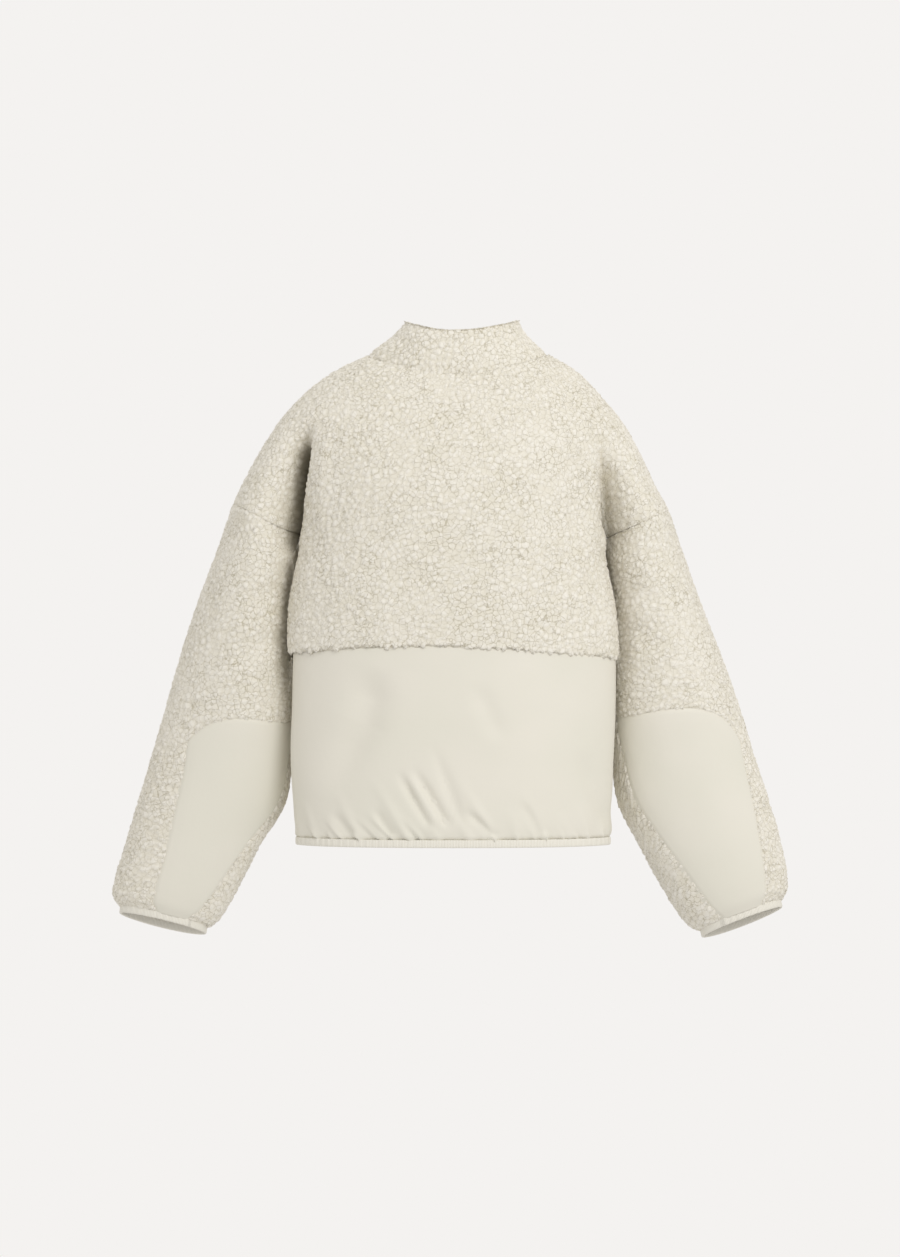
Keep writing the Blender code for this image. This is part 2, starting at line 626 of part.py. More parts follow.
def lower_body_rings(side):
    """Rows of points of the nylon body from its top edge to the hem."""
    rings = []
    for step in NYLON_RINGS:
        level = LOWER_BODY["z"][0] + step * (HEM_Z - LOWER_BODY["z"][0])
        width = float(read(LOWER_BODY, side, level, "z"))
        angles = nylon_angles(width)
        x, y = torso_section(width, float(read(LOWER_BODY, "back", level, "z")),
                             float(read(LOWER_BODY, "front", level, "z")), angles)
        top = yoke_level(-x if side == "left" else x) - SEAM_GAP
        z = top + step * (HEM_Z - top)
        ring = np.column_stack([x, y, z])
        lengths = np.linalg.norm(np.diff(ring, axis=0), axis=1)
        place = np.concatenate([[0.0], np.cumsum(lengths)])
        height = z - HEM_Z
        outward = np.column_stack([x / width ** 2, y / BODY_HALF_DEPTH ** 2, np.zeros_like(x)])
        outward /= np.linalg.norm(outward, axis=1, keepdims=True)
        wave = gather_depth(place / place[-1], height, place[-1], side)
        wave *= ease(place / GATHER_END_FADE) * ease((place[-1] - place) / GATHER_END_FADE)
        ring += outward * wave[:, None]
        rings.append(mirrored(ring, side))
    return np.array(rings)


def build_lower_body():
    """Nylon back and fronts, and the binding round their hem."""
    cloth = Cloth()
    side_column = BODY_COLUMNS * COLUMNS_PER_SEGMENT + 1
    for side in ("left", "right"):
        flip = side == "right"
        rings = lower_body_rings(side)
        cloth.grid("lower_back", rings[:, :side_column + 1], flip)
        cloth.grid("lower_front_" + side, rings[:, side_column:], flip)
    points, normals = cloth.normals()
    flat = normals * np.array([1.0, 1.0, 0.0])
    inner = points - NYLON_WALL * square_front(points, flat)
    for panel in ("lower_back", "lower_front_left", "lower_front_right"):
        finish(wall_mesh(panel, points, inner, cloth.quads[panel], SEAM_SHIFT), "nylon")
    line = []
    for side in ("left", "right"):
        x, y = torso_ring(LOWER_BODY, HEM_Z, side)
        line.append(mirrored(np.column_stack([x, y, np.full_like(x, HEM_Z - SEAM_SHIFT)]), side))
    path = np.vstack([line[0][::-1], line[1][1:]])
    binding = band("hem_binding", path, BINDING_HEIGHT, BINDING_WALL, closed=False)
    finish(binding, "elastic")


def point_outward(made):
    """Turn a closed solid's faces outward."""
    edit = bmesh.new()
    edit.from_mesh(made.data)
    bmesh.ops.recalc_face_normals(edit, faces=edit.faces)
    edit.to_mesh(made.data)
    edit.free()
    return made


def band(name, path, height, wall, closed, down=None, out=None):
    """A soft-edged band hung from a path: rounded rectangle section, swept along it."""
    if down is None:
        down = np.tile([0.0, 0.0, -1.0], (len(path), 1))
    if out is None:
        tangent = np.gradient(path, axis=0)
        out = np.cross(tangent, down)
        out /= np.linalg.norm(out, axis=1, keepdims=True)
    rows = np.array([path + out * across * wall + down * along * height
                     for across, along in BAND_SECTION])
    sides = len(BAND_SECTION)
    count = len(path)
    points = rows.reshape(-1, 3)
    faces = []
    last = count if closed else count - 1
    for ring in range(sides):
        following = (ring + 1) % sides
        for place in range(last):
            after = (place + 1) % count
            faces.append((ring * count + place, ring * count + after,
                          following * count + after, following * count + place))
    if not closed:
        faces.append(tuple(ring * count for ring in range(sides)))
        faces.append(tuple(ring * count + count - 1 for ring in reversed(range(sides))))
    return point_outward(make_object(name, points, faces))


def build_cuffs(cloth, points, normals, sleeves):
    """A band of elastic at the mouth of each sleeve."""
    for side, grid in sleeves.items():
        number = [cloth.add(point) for point in grid[-1]]
        before = [cloth.add(point) for point in grid[-2]]
        middle = points[number] - SHERPA_WALL / 2 * normals[number]
        axis = (points[number] - points[before]).mean(axis=0)
        axis /= np.linalg.norm(axis)
        out = normals[number] - np.outer(normals[number] @ axis, axis)
        out /= np.linalg.norm(out, axis=1, keepdims=True)
        path = middle + axis * CUFF_BINDING_ROOM
        down = np.tile(axis, (len(path), 1))
        made = band("cuff_binding_" + side, path, CUFF_BINDING_HEIGHT, BINDING_WALL, True,
                    down, out)
        finish(made, "elastic")


def front_line():
    """The line of the front opening from the hem to the collar's top, as (y, z)."""
    lower = [(ring[-1][1], ring[-1][2]) for ring in lower_body_rings("right")]
    torso = []
    for step in np.linspace(0.0, 1.0, TORSO_RINGS + 1):
        x, y = torso_ring(TORSO, UNDERARM_Z + step * (YOKE_Z - UNDERARM_Z), "right")
        torso.append((y[-1], UNDERARM_Z + step * (yoke_level(x[-1]) - UNDERARM_Z)))
    yoke = []
    for t in np.linspace(0.0, 1.0, YOKE_RINGS + 1):
        x, y, z = shoulder_ring(t, "right")
        yoke.append((y[-1], z[-1]))
    collar = []
    for v in np.linspace(0.0, 1.0, COLLAR_RINGS + 1):
        x, y, z = collar_ring(v, "right")
        collar.append((y[-1], z[-1]))
    return np.array(lower[::-1] + torso[::-1][:-1] + yoke[::-1][:-1] + collar)


def tape_line():
    """The zip tape's outer face, sunk under the panels' face, as (y, z)."""
    line = front_line()
    keep = [0]
    for number in range(1, len(line)):
        if np.linalg.norm(line[number] - line[keep[-1]]) > TAPE_STEP:
            keep.append(number)
    line = line[keep]
    along = np.gradient(line, axis=0)
    along /= np.linalg.norm(along, axis=1, keepdims=True)
    out = np.column_stack([along[:, 1], -along[:, 0]])
    return line - out * TAPE_DEPTH, out


def build_zip():
    """Tapes, slider and pull tab; the teeth are left to the looks script."""
    line, out = tape_line()
    for side in ("left", "right"):
        sign = -1.0 if side == "left" else 1.0
        points = []
        for x, depth in ((TAPE_INNER_X, 0.0), (TAPE_OUTER_X, 0.0),
                         (TAPE_OUTER_X, TAPE_WALL), (TAPE_INNER_X, TAPE_WALL)):
            face = line - out * depth
            points += [(sign * x, y, z) for y, z in face]
        count = len(line)
        faces = []
        for ring in range(4):
            following = (ring + 1) % 4
            for place in range(count - 1):
                faces.append((ring * count + place, ring * count + place + 1,
                              following * count + place + 1, following * count + place))
        faces.append(tuple(ring * count for ring in range(4)))
        faces.append(tuple(ring * count + count - 1 for ring in reversed(range(4))))
        finish(point_outward(make_object("zip_tape_" + side, points, faces)), "nylon")
    build_slider(line, out)


def plate(name, size, location, bevel):
    """A box with soft edges, its size applied."""
    bpy.ops.mesh.primitive_cube_add(size=1.0)
    made = bpy.context.active_object
    made.name = name
    made.data.name = name
    made.data.transform(Matrix.Translation(location) @ Matrix.Diagonal((*size, 1.0)))
    if bevel:
        soft = made.modifiers.new("Bevel", "BEVEL")
        soft.width = bevel
        soft.segments = 2
    return made


def rod(sides, radius, length, location):
    """A round rod lying along x."""
    bpy.ops.mesh.primitive_cylinder_add(vertices=sides, radius=radius, depth=length,
                                        location=location, rotation=(0.0, math.pi / 2, 0.0))
    return bpy.context.active_object


def combine(base, other, operation):
    """Join another solid into the base, or cut it out of it, and remove it."""
    change = base.modifiers.new("Combine", "BOOLEAN")
    change.operation = operation
    change.solver = "EXACT"
    change.object = other
    bpy.context.view_layer.update()
    evaluated = base.evaluated_get(bpy.context.evaluated_depsgraph_get())
    mesh = bpy.data.meshes.new_from_object(evaluated)
    base.modifiers.clear()
    base.data = mesh
    bpy.data.objects.remove(other)


def join_union(base, other):
    """Join another solid into the base and remove it."""
    combine(base, other, "UNION")


def build_slider(line, out):
    """Slider with two plates and a bridge, and the tab that swings on the bridge."""
    top, below = line[-1], line[-2]
    along = (top - below) / np.linalg.norm(top - below)
    facing = np.array([along[1], -along[0]])
    middle = top - along * SLIDER_FROM_TOP
    lean = math.atan2(-along[0], along[1])
    slider = plate("zip_slider", (SLIDER_WIDTH, SLIDER_PLATE, SLIDER_LENGTH),
                   (0.0, SLIDER_ROOM / 2 + SLIDER_PLATE / 2, 0.0), SLIDER_BEVEL)
    back = plate("slider_back", (SLIDER_WIDTH, SLIDER_PLATE, SLIDER_LENGTH),
                 (0.0, -SLIDER_ROOM / 2 - SLIDER_PLATE / 2, 0.0), SLIDER_BEVEL)
    post = plate("slider_post",
                 (SLIDER_POST_WIDTH, SLIDER_ROOM + SLIDER_PLATE, SLIDER_POST_LENGTH),
                 (0.0, 0.0, SLIDER_POST_UP), 0.0)
    face = SLIDER_ROOM / 2 + SLIDER_PLATE
    hinge_out = face + HINGE_OUT
    for sign in (-1.0, 1.0):
        ear = plate("slider_ear", BRIDGE_EAR,
                    (sign * BRIDGE_SPAN / 2, face + BRIDGE_EAR_OUT, HINGE_UP), 0.0)
        join_union(slider, ear)
    join_union(slider, rod(PIN_SIDES, BRIDGE_RADIUS, BRIDGE_SPAN, (0.0, hinge_out, HINGE_UP)))
    join_union(slider, back)
    join_union(slider, post)
    centre = middle - facing * TAPE_WALL / 2
    settle(slider, centre, lean)
    hinge = centre + facing * hinge_out + along * HINGE_UP
    build_tab(hinge, lean)


def settle(made, centre, lean):
    """Turn a piece made at the origin to the zip's lean and put it on the zip."""
    for collection in made.users_collection:
        collection.objects.unlink(made)
    jacket.objects.link(made)
    made.rotation_euler = (lean, 0.0, 0.0)
    made.location = (0.0, centre[0], centre[1])
    finish(made, "zip_metal")


def build_tab(hinge, lean):
    """The pull tab: a flat plate with an eye round the bridge's pin, its origin on the pin."""
    tab = plate("zip_pull_tab", (TAB_WIDTH, TAB_WALL, TAB_LENGTH),
                (0.0, 0.0, TAB_ABOVE_PIN - TAB_LENGTH / 2), 0.0)
    middle = (0.0, 0.0, 0.0)
    join_union(tab, rod(EYE_SIDES, TAB_EYE, TAB_WIDTH, middle))
    combine(tab, rod(EYE_SIDES, BRIDGE_RADIUS + PIN_ROOM, 2 * TAB_WIDTH, middle), "DIFFERENCE")
    settle(tab, hinge, lean)


for old in list(bpy.data.objects):
    bpy.data.objects.remove(old)
jacket = bpy.data.collections.new("sherpa_jacket")
bpy.context.scene.collection.children.link(jacket)

sherpa, sherpa_points, sherpa_normals, sleeve_grids = build_sherpa()
sherpa_inner = sherpa_points - SHERPA_WALL * sherpa_normals
for panel_name in ("upper_back", "upper_front_left", "upper_front_right", "collar"):
    finish(wall_mesh(panel_name, sherpa_points, sherpa_inner, sherpa.quads[panel_name],
                     SEAM_SHIFT), "sherpa")
build_sleeves(sherpa, sherpa_points, sherpa_normals, sleeve_grids)
build_cuffs(sherpa, sherpa_points, sherpa_normals, sleeve_grids)
build_lower_body()
build_zip()
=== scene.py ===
"""Looks of the sherpa jacket: fine cloth, pile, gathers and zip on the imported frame."""

import logging
import math
from dataclasses import dataclass, field
from enum import Enum
from functools import lru_cache

import bpy
import numpy as np
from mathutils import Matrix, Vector


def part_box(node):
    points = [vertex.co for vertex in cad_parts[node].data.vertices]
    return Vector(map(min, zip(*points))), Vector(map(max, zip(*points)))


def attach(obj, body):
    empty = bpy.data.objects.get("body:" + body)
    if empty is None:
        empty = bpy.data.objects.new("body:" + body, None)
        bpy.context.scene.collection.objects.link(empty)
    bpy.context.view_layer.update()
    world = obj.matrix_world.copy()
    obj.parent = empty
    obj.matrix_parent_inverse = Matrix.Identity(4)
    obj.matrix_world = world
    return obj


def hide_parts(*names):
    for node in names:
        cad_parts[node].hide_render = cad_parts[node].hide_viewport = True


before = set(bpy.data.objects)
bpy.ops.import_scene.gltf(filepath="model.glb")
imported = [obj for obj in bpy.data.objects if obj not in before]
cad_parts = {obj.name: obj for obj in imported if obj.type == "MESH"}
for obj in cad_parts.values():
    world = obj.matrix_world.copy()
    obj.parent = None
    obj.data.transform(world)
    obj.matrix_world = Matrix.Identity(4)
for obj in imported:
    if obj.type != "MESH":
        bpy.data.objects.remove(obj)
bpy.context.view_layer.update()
log = logging.getLogger("sherpa_jacket")

IMAGE_HEIGHT = 1257
PIXEL = 0.0012
PHOTO_CENTRE = (452.5, 376.0)
CAMERA_PLACE = (-0.003, -5.0, -0.303)

# Sizes shared with the solids, in metres
SHERPA_WALL = 0.0050
NYLON_WALL = 0.0018
BODY_COLUMNS = 11
ARM_COLUMNS = 10
SECTION_POWER = 2.2
TORSO_POWER = 2.4
CREASE_HEAD = 0.46
CREASE_EASE = 1.25
SHARE_FROM = 0.5
LEVEL_FROM_Y = -0.05
LEVEL_RUN_Y = 0.10
UNDERARM_Z = -0.199
UNDERARM_Y = 0.012
UNDERARM_HALF = 0.012
ARM_DENT = 0.07
ARM_DENT_RUN = 0.055
ARM_HALF_DEPTH = 0.080
ARM_FILL = 0.70
UNDERARM_BODY_DEPTH = 0.130
YOKE_Z = -0.3255
YOKE_ARCH = 0.0100
YOKE_SLOPE = 0.0035
YOKE_HALF_WIDTH = 0.19
SLEEVE_UPPER_RINGS = 7
PATCH_FIRST = 3
PATCH_LAST = 10
PATCH_TOP_DEPTH = 0.0012
PATCH_RECESS = 0.0036
CUFF_DROP = 0.22
CUFF_DROP_FROM = 0.70
SPREAD_FROM = 0.25
SPREAD_RUN = 0.30
PATCH_TURN_FROM = 0.45
FRONT_SPREAD = 163.0
HEM_Z = -0.5520
BINDING_HEIGHT = 0.0078
BINDING_WALL = 0.0030
CUFF_BINDING_HEIGHT = 0.0060
CUFF_BINDING_ROOM = 0.0018
SEAM_GAP = 0.0003
PANEL_EDGE_X = 0.0093
TAPE_OUTER_X = 0.0090
TAPE_INNER_X = 0.0032
TAPE_WALL = 0.0012
TAPE_DEPTH = 0.0016
BODY_HALF_DEPTH = 0.127
GATHER_HALF_WIDTH = 0.0070
GATHER_END_FADE = 0.010

# Sizes of the looks alone, in metres
# the back stands nearer the camera than the middle plane, so the photograph shows it larger
BACK_SCALE = 0.974
BACK_DROP = 0.0079
PUCKER_WIDTH = 0.0026
PUCKERS_A_SIDE = 24
# puckers grow wider by as much again over this height
PUCKER_SPREAD = 0.03
# a crease on one face of the jacket fades out over this depth round its sides
FACE_BLEND = 0.06
# a crease this deep gets the full painted shade: light hardly reaches between its walls of pile
DEEP_FOLD = 0.034
# the bands reach this far up inside the sleeves and the body
CUFF_TUCK = 0.0036
HEM_TUCK = 0.0010
# the armhole seam's valley fades out over this many columns of the body
SEAM_FADE = 6


def named_rows(names: tuple[str, ...], rows: list[tuple[float, ...]]) -> np.ndarray:
    """Put rows of numbers, one tuple a row, in a table with named columns."""
    return np.array(rows, dtype=[(name, float) for name in names])


RING_NAMES = ("left_x", "left_z", "right_x", "right_z", "back_y", "back_z", "front_y", "front_z")
SHOULDER = named_rows(("t", *RING_NAMES, "valley", "body_x"), [
    (0.00, 0.0966, 0.0252, 0.1158, 0.0264, 0.072, 0.000, 0.088, -0.052, 35.0, 0.120),
    (0.15, 0.1326, 0.0114, 0.1474, 0.0077, 0.087, -0.022, 0.099, -0.068, 34.0, 0.140),
    (0.35, 0.1746, -0.0180, 0.1814, -0.0269, 0.106, -0.057, 0.110, -0.092, 33.0, 0.165),
    (0.50, 0.2010, -0.0450, 0.2046, -0.0552, 0.117, -0.088, 0.117, -0.113, 34.0, 0.175),
    (0.68, 0.2274, -0.0828, 0.2262, -0.0936, 0.126, -0.127, 0.124, -0.143, 39.0, 0.179),
    (0.84, 0.2478, -0.1188, 0.2430, -0.1290, 0.130, -0.163, 0.128, -0.170, 44.0, 0.183),
    (1.00, 0.2646, -0.1524, 0.2610, -0.1608, 0.131, -0.199, 0.130, -0.199, 49.0, 0.188),
])
TORSO = named_rows(("z", "left", "right", "back", "front"), [
    (-0.199, 0.1880, 0.1880, 0.131, 0.130),
    (-0.232, 0.1938, 0.1912, 0.132, 0.130),
    (-0.270, 0.1972, 0.1956, 0.133, 0.129),
    (-0.305, 0.1984, 0.1990, 0.133, 0.128),
    (-0.345, 0.1976, 0.1990, 0.132, 0.127),
])
LOWER_BODY = named_rows(("z", "left", "right", "back", "front"), [
    (-0.3250, 0.1928, 0.1962, 0.1290, 0.1240),
    (-0.3900, 0.1945, 0.1966, 0.1292, 0.1240),
    (-0.4500, 0.1962, 0.1968, 0.1290, 0.1235),
    (-0.5050, 0.1965, 0.1968, 0.1280, 0.1225),
    (-0.5350, 0.1956, 0.1962, 0.1265, 0.1210),
    (-0.5520, 0.1930, 0.1945, 0.1240, 0.1185),
])
COLLAR = named_rows(("v", *RING_NAMES), [
    (0.00, 0.0966, 0.0252, 0.1158, 0.0264, 0.072, 0.000, 0.088, -0.052),
    (0.33, 0.0835, 0.0380, 0.1010, 0.0380, 0.070, 0.020, 0.083, -0.032),
    (0.66, 0.0680, 0.0525, 0.0875, 0.0520, 0.066, 0.039, 0.077, -0.012),
    (1.00, 0.0560, 0.0668, 0.0790, 0.0682, 0.061, 0.053, 0.071, 0.008),
])
SLEEVE_NAMES = ("t", "out_x", "out_z", "in_x", "in_z", "depth", "mid_y")
SLEEVES = {
    "left": named_rows(SLEEVE_NAMES, [
        (0.000, 0.2646, -0.1524, 0.1790, -0.1990, 0.080, 0.012),
        (0.120, 0.2838, -0.2088, 0.1875, -0.2592, 0.080, 0.012),
        (0.237, 0.3042, -0.2628, 0.1885, -0.3192, 0.077, 0.013),
        (0.377, 0.3264, -0.3288, 0.1895, -0.3900, 0.071, 0.015),
        (0.504, 0.3438, -0.3888, 0.1914, -0.4548, 0.066, 0.018),
        (0.640, 0.3636, -0.4572, 0.2020, -0.5184, 0.062, 0.020),
        (0.746, 0.3798, -0.5112, 0.2285, -0.5604, 0.058, 0.020),
        (0.851, 0.3954, -0.5640, 0.2514, -0.6048, 0.054, 0.020),
        (0.935, 0.4085, -0.6090, 0.2755, -0.6480, 0.048, 0.020),
        (0.970, 0.4100, -0.6260, 0.2850, -0.6590, 0.044, 0.020),
        (1.000, 0.4010, -0.6400, 0.2960, -0.6650, 0.037, 0.020),
    ]),
    "right": named_rows(SLEEVE_NAMES, [
        (0.000, 0.2610, -0.1608, 0.1790, -0.1990, 0.080, 0.012),
        (0.120, 0.2778, -0.2112, 0.1875, -0.2616, 0.080, 0.012),
        (0.237, 0.2970, -0.2652, 0.1885, -0.3192, 0.077, 0.013),
        (0.377, 0.3222, -0.3300, 0.1895, -0.3900, 0.071, 0.015),
        (0.504, 0.3438, -0.3888, 0.1910, -0.4548, 0.066, 0.018),
        (0.640, 0.3650, -0.4572, 0.1990, -0.5160, 0.062, 0.020),
        (0.746, 0.3820, -0.5088, 0.2235, -0.5640, 0.058, 0.020),
        (0.851, 0.3962, -0.5592, 0.2470, -0.6080, 0.054, 0.020),
        (0.935, 0.4045, -0.6048, 0.2735, -0.6500, 0.048, 0.020),
        (0.970, 0.4040, -0.6200, 0.2850, -0.6620, 0.044, 0.020),
        (1.000, 0.3965, -0.6330, 0.2990, -0.6690, 0.037, 0.020),
    ]),
}
PATCH_EDGES = {
    "left": {"outer_top": 50.0, "outer_cuff": 82.0, "inner_top": 172.0, "inner_cuff": 128.0,
             "start_corner": 0.571, "start_middle": 0.480, "start_inner": 0.424},
    "right": {"outer_top": 20.0, "outer_cuff": 60.0, "inner_top": 152.0, "inner_cuff": 118.0,
              "start_corner": 0.590, "start_middle": 0.480, "start_inner": 0.415},
}
GATHERS = named_rows(("place", "height", "depth", "lean"), [
    (0.04, 0.050, 0.0028, 0.5), (0.10, 0.075, 0.0034, 0.6), (0.16, 0.040, 0.0022, 0.4),
    (0.22, 0.060, 0.0028, 0.5), (0.28, 0.034, 0.0020, 0.4), (0.34, 0.046, 0.0024, 0.4),
    (0.40, 0.034, 0.0020, 0.3), (0.46, 0.040, 0.0022, 0.3), (0.52, 0.044, 0.0022, 0.3),
    (0.58, 0.034, 0.0020, 0.3), (0.64, 0.048, 0.0024, 0.3), (0.70, 0.034, 0.0020, 0.4),
    (0.76, 0.044, 0.0024, 0.4), (0.82, 0.036, 0.0020, 0.3), (0.88, 0.046, 0.0022, 0.3),
    (0.94, 0.034, 0.0020, 0.3),
])


class Side(Enum):
    """The wearer's side; the left one is at negative x."""

    LEFT = "left"
    RIGHT = "right"

    @property
    def sign(self) -> float:
        """The sign of x on this side."""
        return -1.0 if self is Side.LEFT else 1.0


class Border(Enum):
    """How a panel ends along one of its borders."""

    SEAM = "sewn to its neighbour, so it dips"
    FREE = "rolls over to the inside"
    OPEN = "goes on without a mark"


def read(table: np.ndarray, column: str, at: np.ndarray | float, key: str) -> np.ndarray:
    """Read a table's column at given keys: a cubic Hermite curve through its rows.

    Args:
        table: The table.
        column: The column that is read.
        at: The keys.
        key: The column that holds the rows' keys.

    Returns:
        The values, of the shape of at.
    """
    rising = table[key][0] < table[key][-1]
    keys = table[key] if rising else -table[key]
    at = np.asarray(at, float) if rising else -np.asarray(at, float)
    values = table[column]
    slopes = np.gradient(values, keys)
    i = np.clip(np.searchsorted(keys, at, side="right") - 1, 0, len(keys) - 2)
    step = keys[i + 1] - keys[i]
    u = np.clip((at - keys[i]) / step, 0.0, 1.0)
    start = (1 + 2 * u) * (1 - u) ** 2 * values[i] + u * (1 - u) ** 2 * step * slopes[i]
    end = u * u * (3 - 2 * u) * values[i + 1] + u * u * (u - 1) * step * slopes[i + 1]
    return start + end


def ease(value: np.ndarray | float) -> np.ndarray:
    """Go smoothly from 0 to 1 while the value does: three squares less two cubes."""
    value = np.clip(value, 0.0, 1.0)
    return value * value * (3.0 - 2.0 * value)


def powers(angle: np.ndarray, power: float) -> tuple[np.ndarray, np.ndarray]:
    """Cosine and sine of a superellipse: each to 2 over its power, the sign kept."""
    cosine = np.cos(angle)
    sine = np.sin(angle)
    return (np.sign(cosine) * np.abs(cosine) ** (2 / power),
            np.sign(sine) * np.abs(sine) ** (2 / power))


def dent(y: np.ndarray) -> np.ndarray:
    """Share of the body's width left where the arm lies against it."""
    return 1.0 - ARM_DENT * ease((y + ARM_DENT_RUN) / ARM_DENT_RUN)


def edge_angle(width: float, power: float) -> float:
    """Angle at which a section of this half-width reaches the front panel's edge."""
    return float(np.arccos((PANEL_EDGE_X / width) ** (power / 2)))


def yoke_level(x: np.ndarray) -> np.ndarray:
    """Height of the sherpa's lower edge: a shallow arch with a slight slope."""
    u = x / YOKE_HALF_WIDTH
    return YOKE_Z - YOKE_ARCH * u * u - YOKE_SLOPE * u


def runs(*stops: tuple[float, float, int]) -> np.ndarray:
    """Join even runs of numbers, each given by its start, end and step count; a shared end comes once."""
    parts = [np.linspace(start, end, count + 1) for start, end, count in stops]
    return np.concatenate([parts[0]] + [part[1:] for part in parts[1:]])


@dataclass(frozen=True)
class Fineness:
    """Columns made for each of the solids' columns, and at the underarm."""

    body: int = 12
    arm: int = 8
    underarm: int = 8

    @property
    def body_count(self) -> int:
        """Columns of half a back, from the centre to the armhole."""
        return BODY_COLUMNS * self.body

    @property
    def arm_count(self) -> int:
        """Columns over half an arm, from the armhole to the shoulder's outer line."""
        return ARM_COLUMNS * self.arm


@dataclass(frozen=True)
class BodyShape:
    """The body's sections, as the solids have them, at any fineness."""

    fine: Fineness = field(default_factory=Fineness)

    def torso_angles(self, width: float) -> np.ndarray:
        """Angles of a torso ring from the centre back to the front edge."""
        side = math.asin((UNDERARM_Y / UNDERARM_BODY_DEPTH) ** (TORSO_POWER / 2))
        front = math.asin((2 * UNDERARM_Y / UNDERARM_BODY_DEPTH) ** (TORSO_POWER / 2))
        edge = edge_angle(width * (1.0 - ARM_DENT), TORSO_POWER)
        count = self.fine.body_count
        return runs((-math.pi / 2, 0.0, count), (0.0, side, self.fine.underarm),
                    (side, front, self.fine.underarm), (front, edge, count))

    def torso_section(self, width: float, back: float, front: float) -> tuple[np.ndarray, np.ndarray]:
        """Half a torso ring: a superellipse whose width is dented by the arm.

        Args:
            width: Half the width.
            back: Depth behind the centre.
            front: Depth before the centre.

        Returns:
            x outward and y forward.
        """
        cosine, sine = powers(self.torso_angles(width), TORSO_POWER)
        y = np.where(sine < 0, back, front) * sine
        return width * cosine * dent(y), y

    def torso_ring(self, table: np.ndarray, z: float, side: Side) -> tuple[np.ndarray, np.ndarray]:
        """One side's ring at a level, read from a table of levels."""
        return self.torso_section(float(read(table, side.value, z, "z")),
                                  float(read(table, "back", z, "z")),
                                  float(read(table, "front", z, "z")))

    def smooth_angles(self, valley: float, width: float) -> np.ndarray:
        """Angles of a whole ring: back, round the shoulder, and front to its edge."""
        body, arm = self.fine.body_count, self.fine.arm_count
        return runs((-math.pi / 2, -valley, body), (-valley, 0.0, arm), (0.0, valley, arm),
                    (valley, edge_angle(width, SECTION_POWER), body))

    def shoulder_ring(self, t: float, side: Side) -> np.ndarray:
        """One side's ring between the collar seam (t 0) and the armhole seam (t 1).

        A smooth superellipse turns into a body ring with an arm's arc beside it, so that
        a crease opens between them from CREASE_HEAD on.

        Args:
            t: Share of the way.
            side: The wearer's side.

        Returns:
            The ring's points, x outward.
        """
        row = {name: float(read(SHOULDER, name, t, "t")) for name in SHOULDER.dtype.names}
        width, side_z = row[side.value + "_x"], row[side.value + "_z"]
        cosine, sine = powers(self.smooth_angles(math.radians(row["valley"]), width), SECTION_POWER)
        smooth_x = width * cosine
        smooth_y = np.where(sine < 0, row["back_y"], row["front_y"]) * sine
        body_x, body_y = self.torso_section(row["body_x"], row["back_y"], row["front_y"])
        arm_x, arm_y = self.arm_arc(body_x, width)
        count, last = self.fine.body_count, self.fine.body_count + 2 * self.fine.underarm
        lobed_x = np.concatenate([body_x[:count + 1], arm_x, body_x[last + 1:]])
        lobed_y = np.concatenate([body_y[:count + 1], arm_y, body_y[last + 1:]])
        weight = max(0.0, (t - CREASE_HEAD) / (1.0 - CREASE_HEAD)) ** CREASE_EASE
        x = (1 - weight) * smooth_x + weight * lobed_x
        y = (1 - weight) * smooth_y + weight * lobed_y
        share = ease((t - SHARE_FROM) / (1.0 - SHARE_FROM))
        beyond = np.clip((x - body_x[count]) / (width - body_x[count]), 0.0, 1.0)
        rise = (1 - share) * np.minimum(x / width, 1.0) ** 2 + share * beyond
        middle_z = level_between(row["back_z"], row["front_z"], y)
        return np.column_stack([x, y, middle_z + (side_z - middle_z) * rise])

    def arm_arc(self, body_x: np.ndarray, x_out: float) -> tuple[np.ndarray, np.ndarray]:
        """The arm's round section from the back of the underarm to its front.

        Args:
            body_x: The body ring's x values, where the arc starts and ends.
            x_out: The arm's outermost x.

        Returns:
            x outward and y forward, without the first point.
        """
        x_back = body_x[self.fine.body_count]
        x_front = body_x[self.fine.body_count + 2 * self.fine.underarm]
        tip = math.asin(UNDERARM_HALF / ARM_HALF_DEPTH)
        turn = runs((tip - math.pi, 0.0, self.fine.arm_count),
                    (0.0, math.pi - tip, self.fine.arm_count))[1:]
        radius = (x_out - x_back) / (1.0 + math.cos(tip))
        out_share = np.clip((x_out - radius + radius * np.cos(turn) - x_back) / (x_out - x_back), 0.0, 1.0)
        x = x_back + (x_out - x_back) * out_share ** ARM_FILL
        y = UNDERARM_Y + ARM_HALF_DEPTH * np.sin(turn)
        share = np.clip((y - UNDERARM_Y + UNDERARM_HALF) / (2 * UNDERARM_HALF), 0.0, 1.0)
        return x + (x_front - x_back) * share * (x_out - x) / (x_out - x_back), y

    def collar_ring(self, v: float, side: Side) -> np.ndarray:
        """One side's collar ring, from its seam (v 0) to its top (v 1)."""
        row = {name: float(read(COLLAR, name, v, "v")) for name in COLLAR.dtype.names}
        width = row[side.value + "_x"]
        valley = math.radians(float(SHOULDER["valley"][0]))
        cosine, sine = powers(self.smooth_angles(valley, width), SECTION_POWER)
        x = width * cosine
        y = np.where(sine < 0, row["back_y"], row["front_y"]) * sine
        middle_z = level_between(row["back_z"], row["front_z"], y)
        return np.column_stack([x, y, middle_z + (row[side.value + "_z"] - middle_z) * (x / width) ** 2])

    def yoke_grid(self, side: Side, rows: int) -> np.ndarray:
        """Rings from the collar seam to the armhole seam, in place."""
        return placed([self.shoulder_ring(t, side) for t in np.linspace(0.0, 1.0, rows + 1)], side)

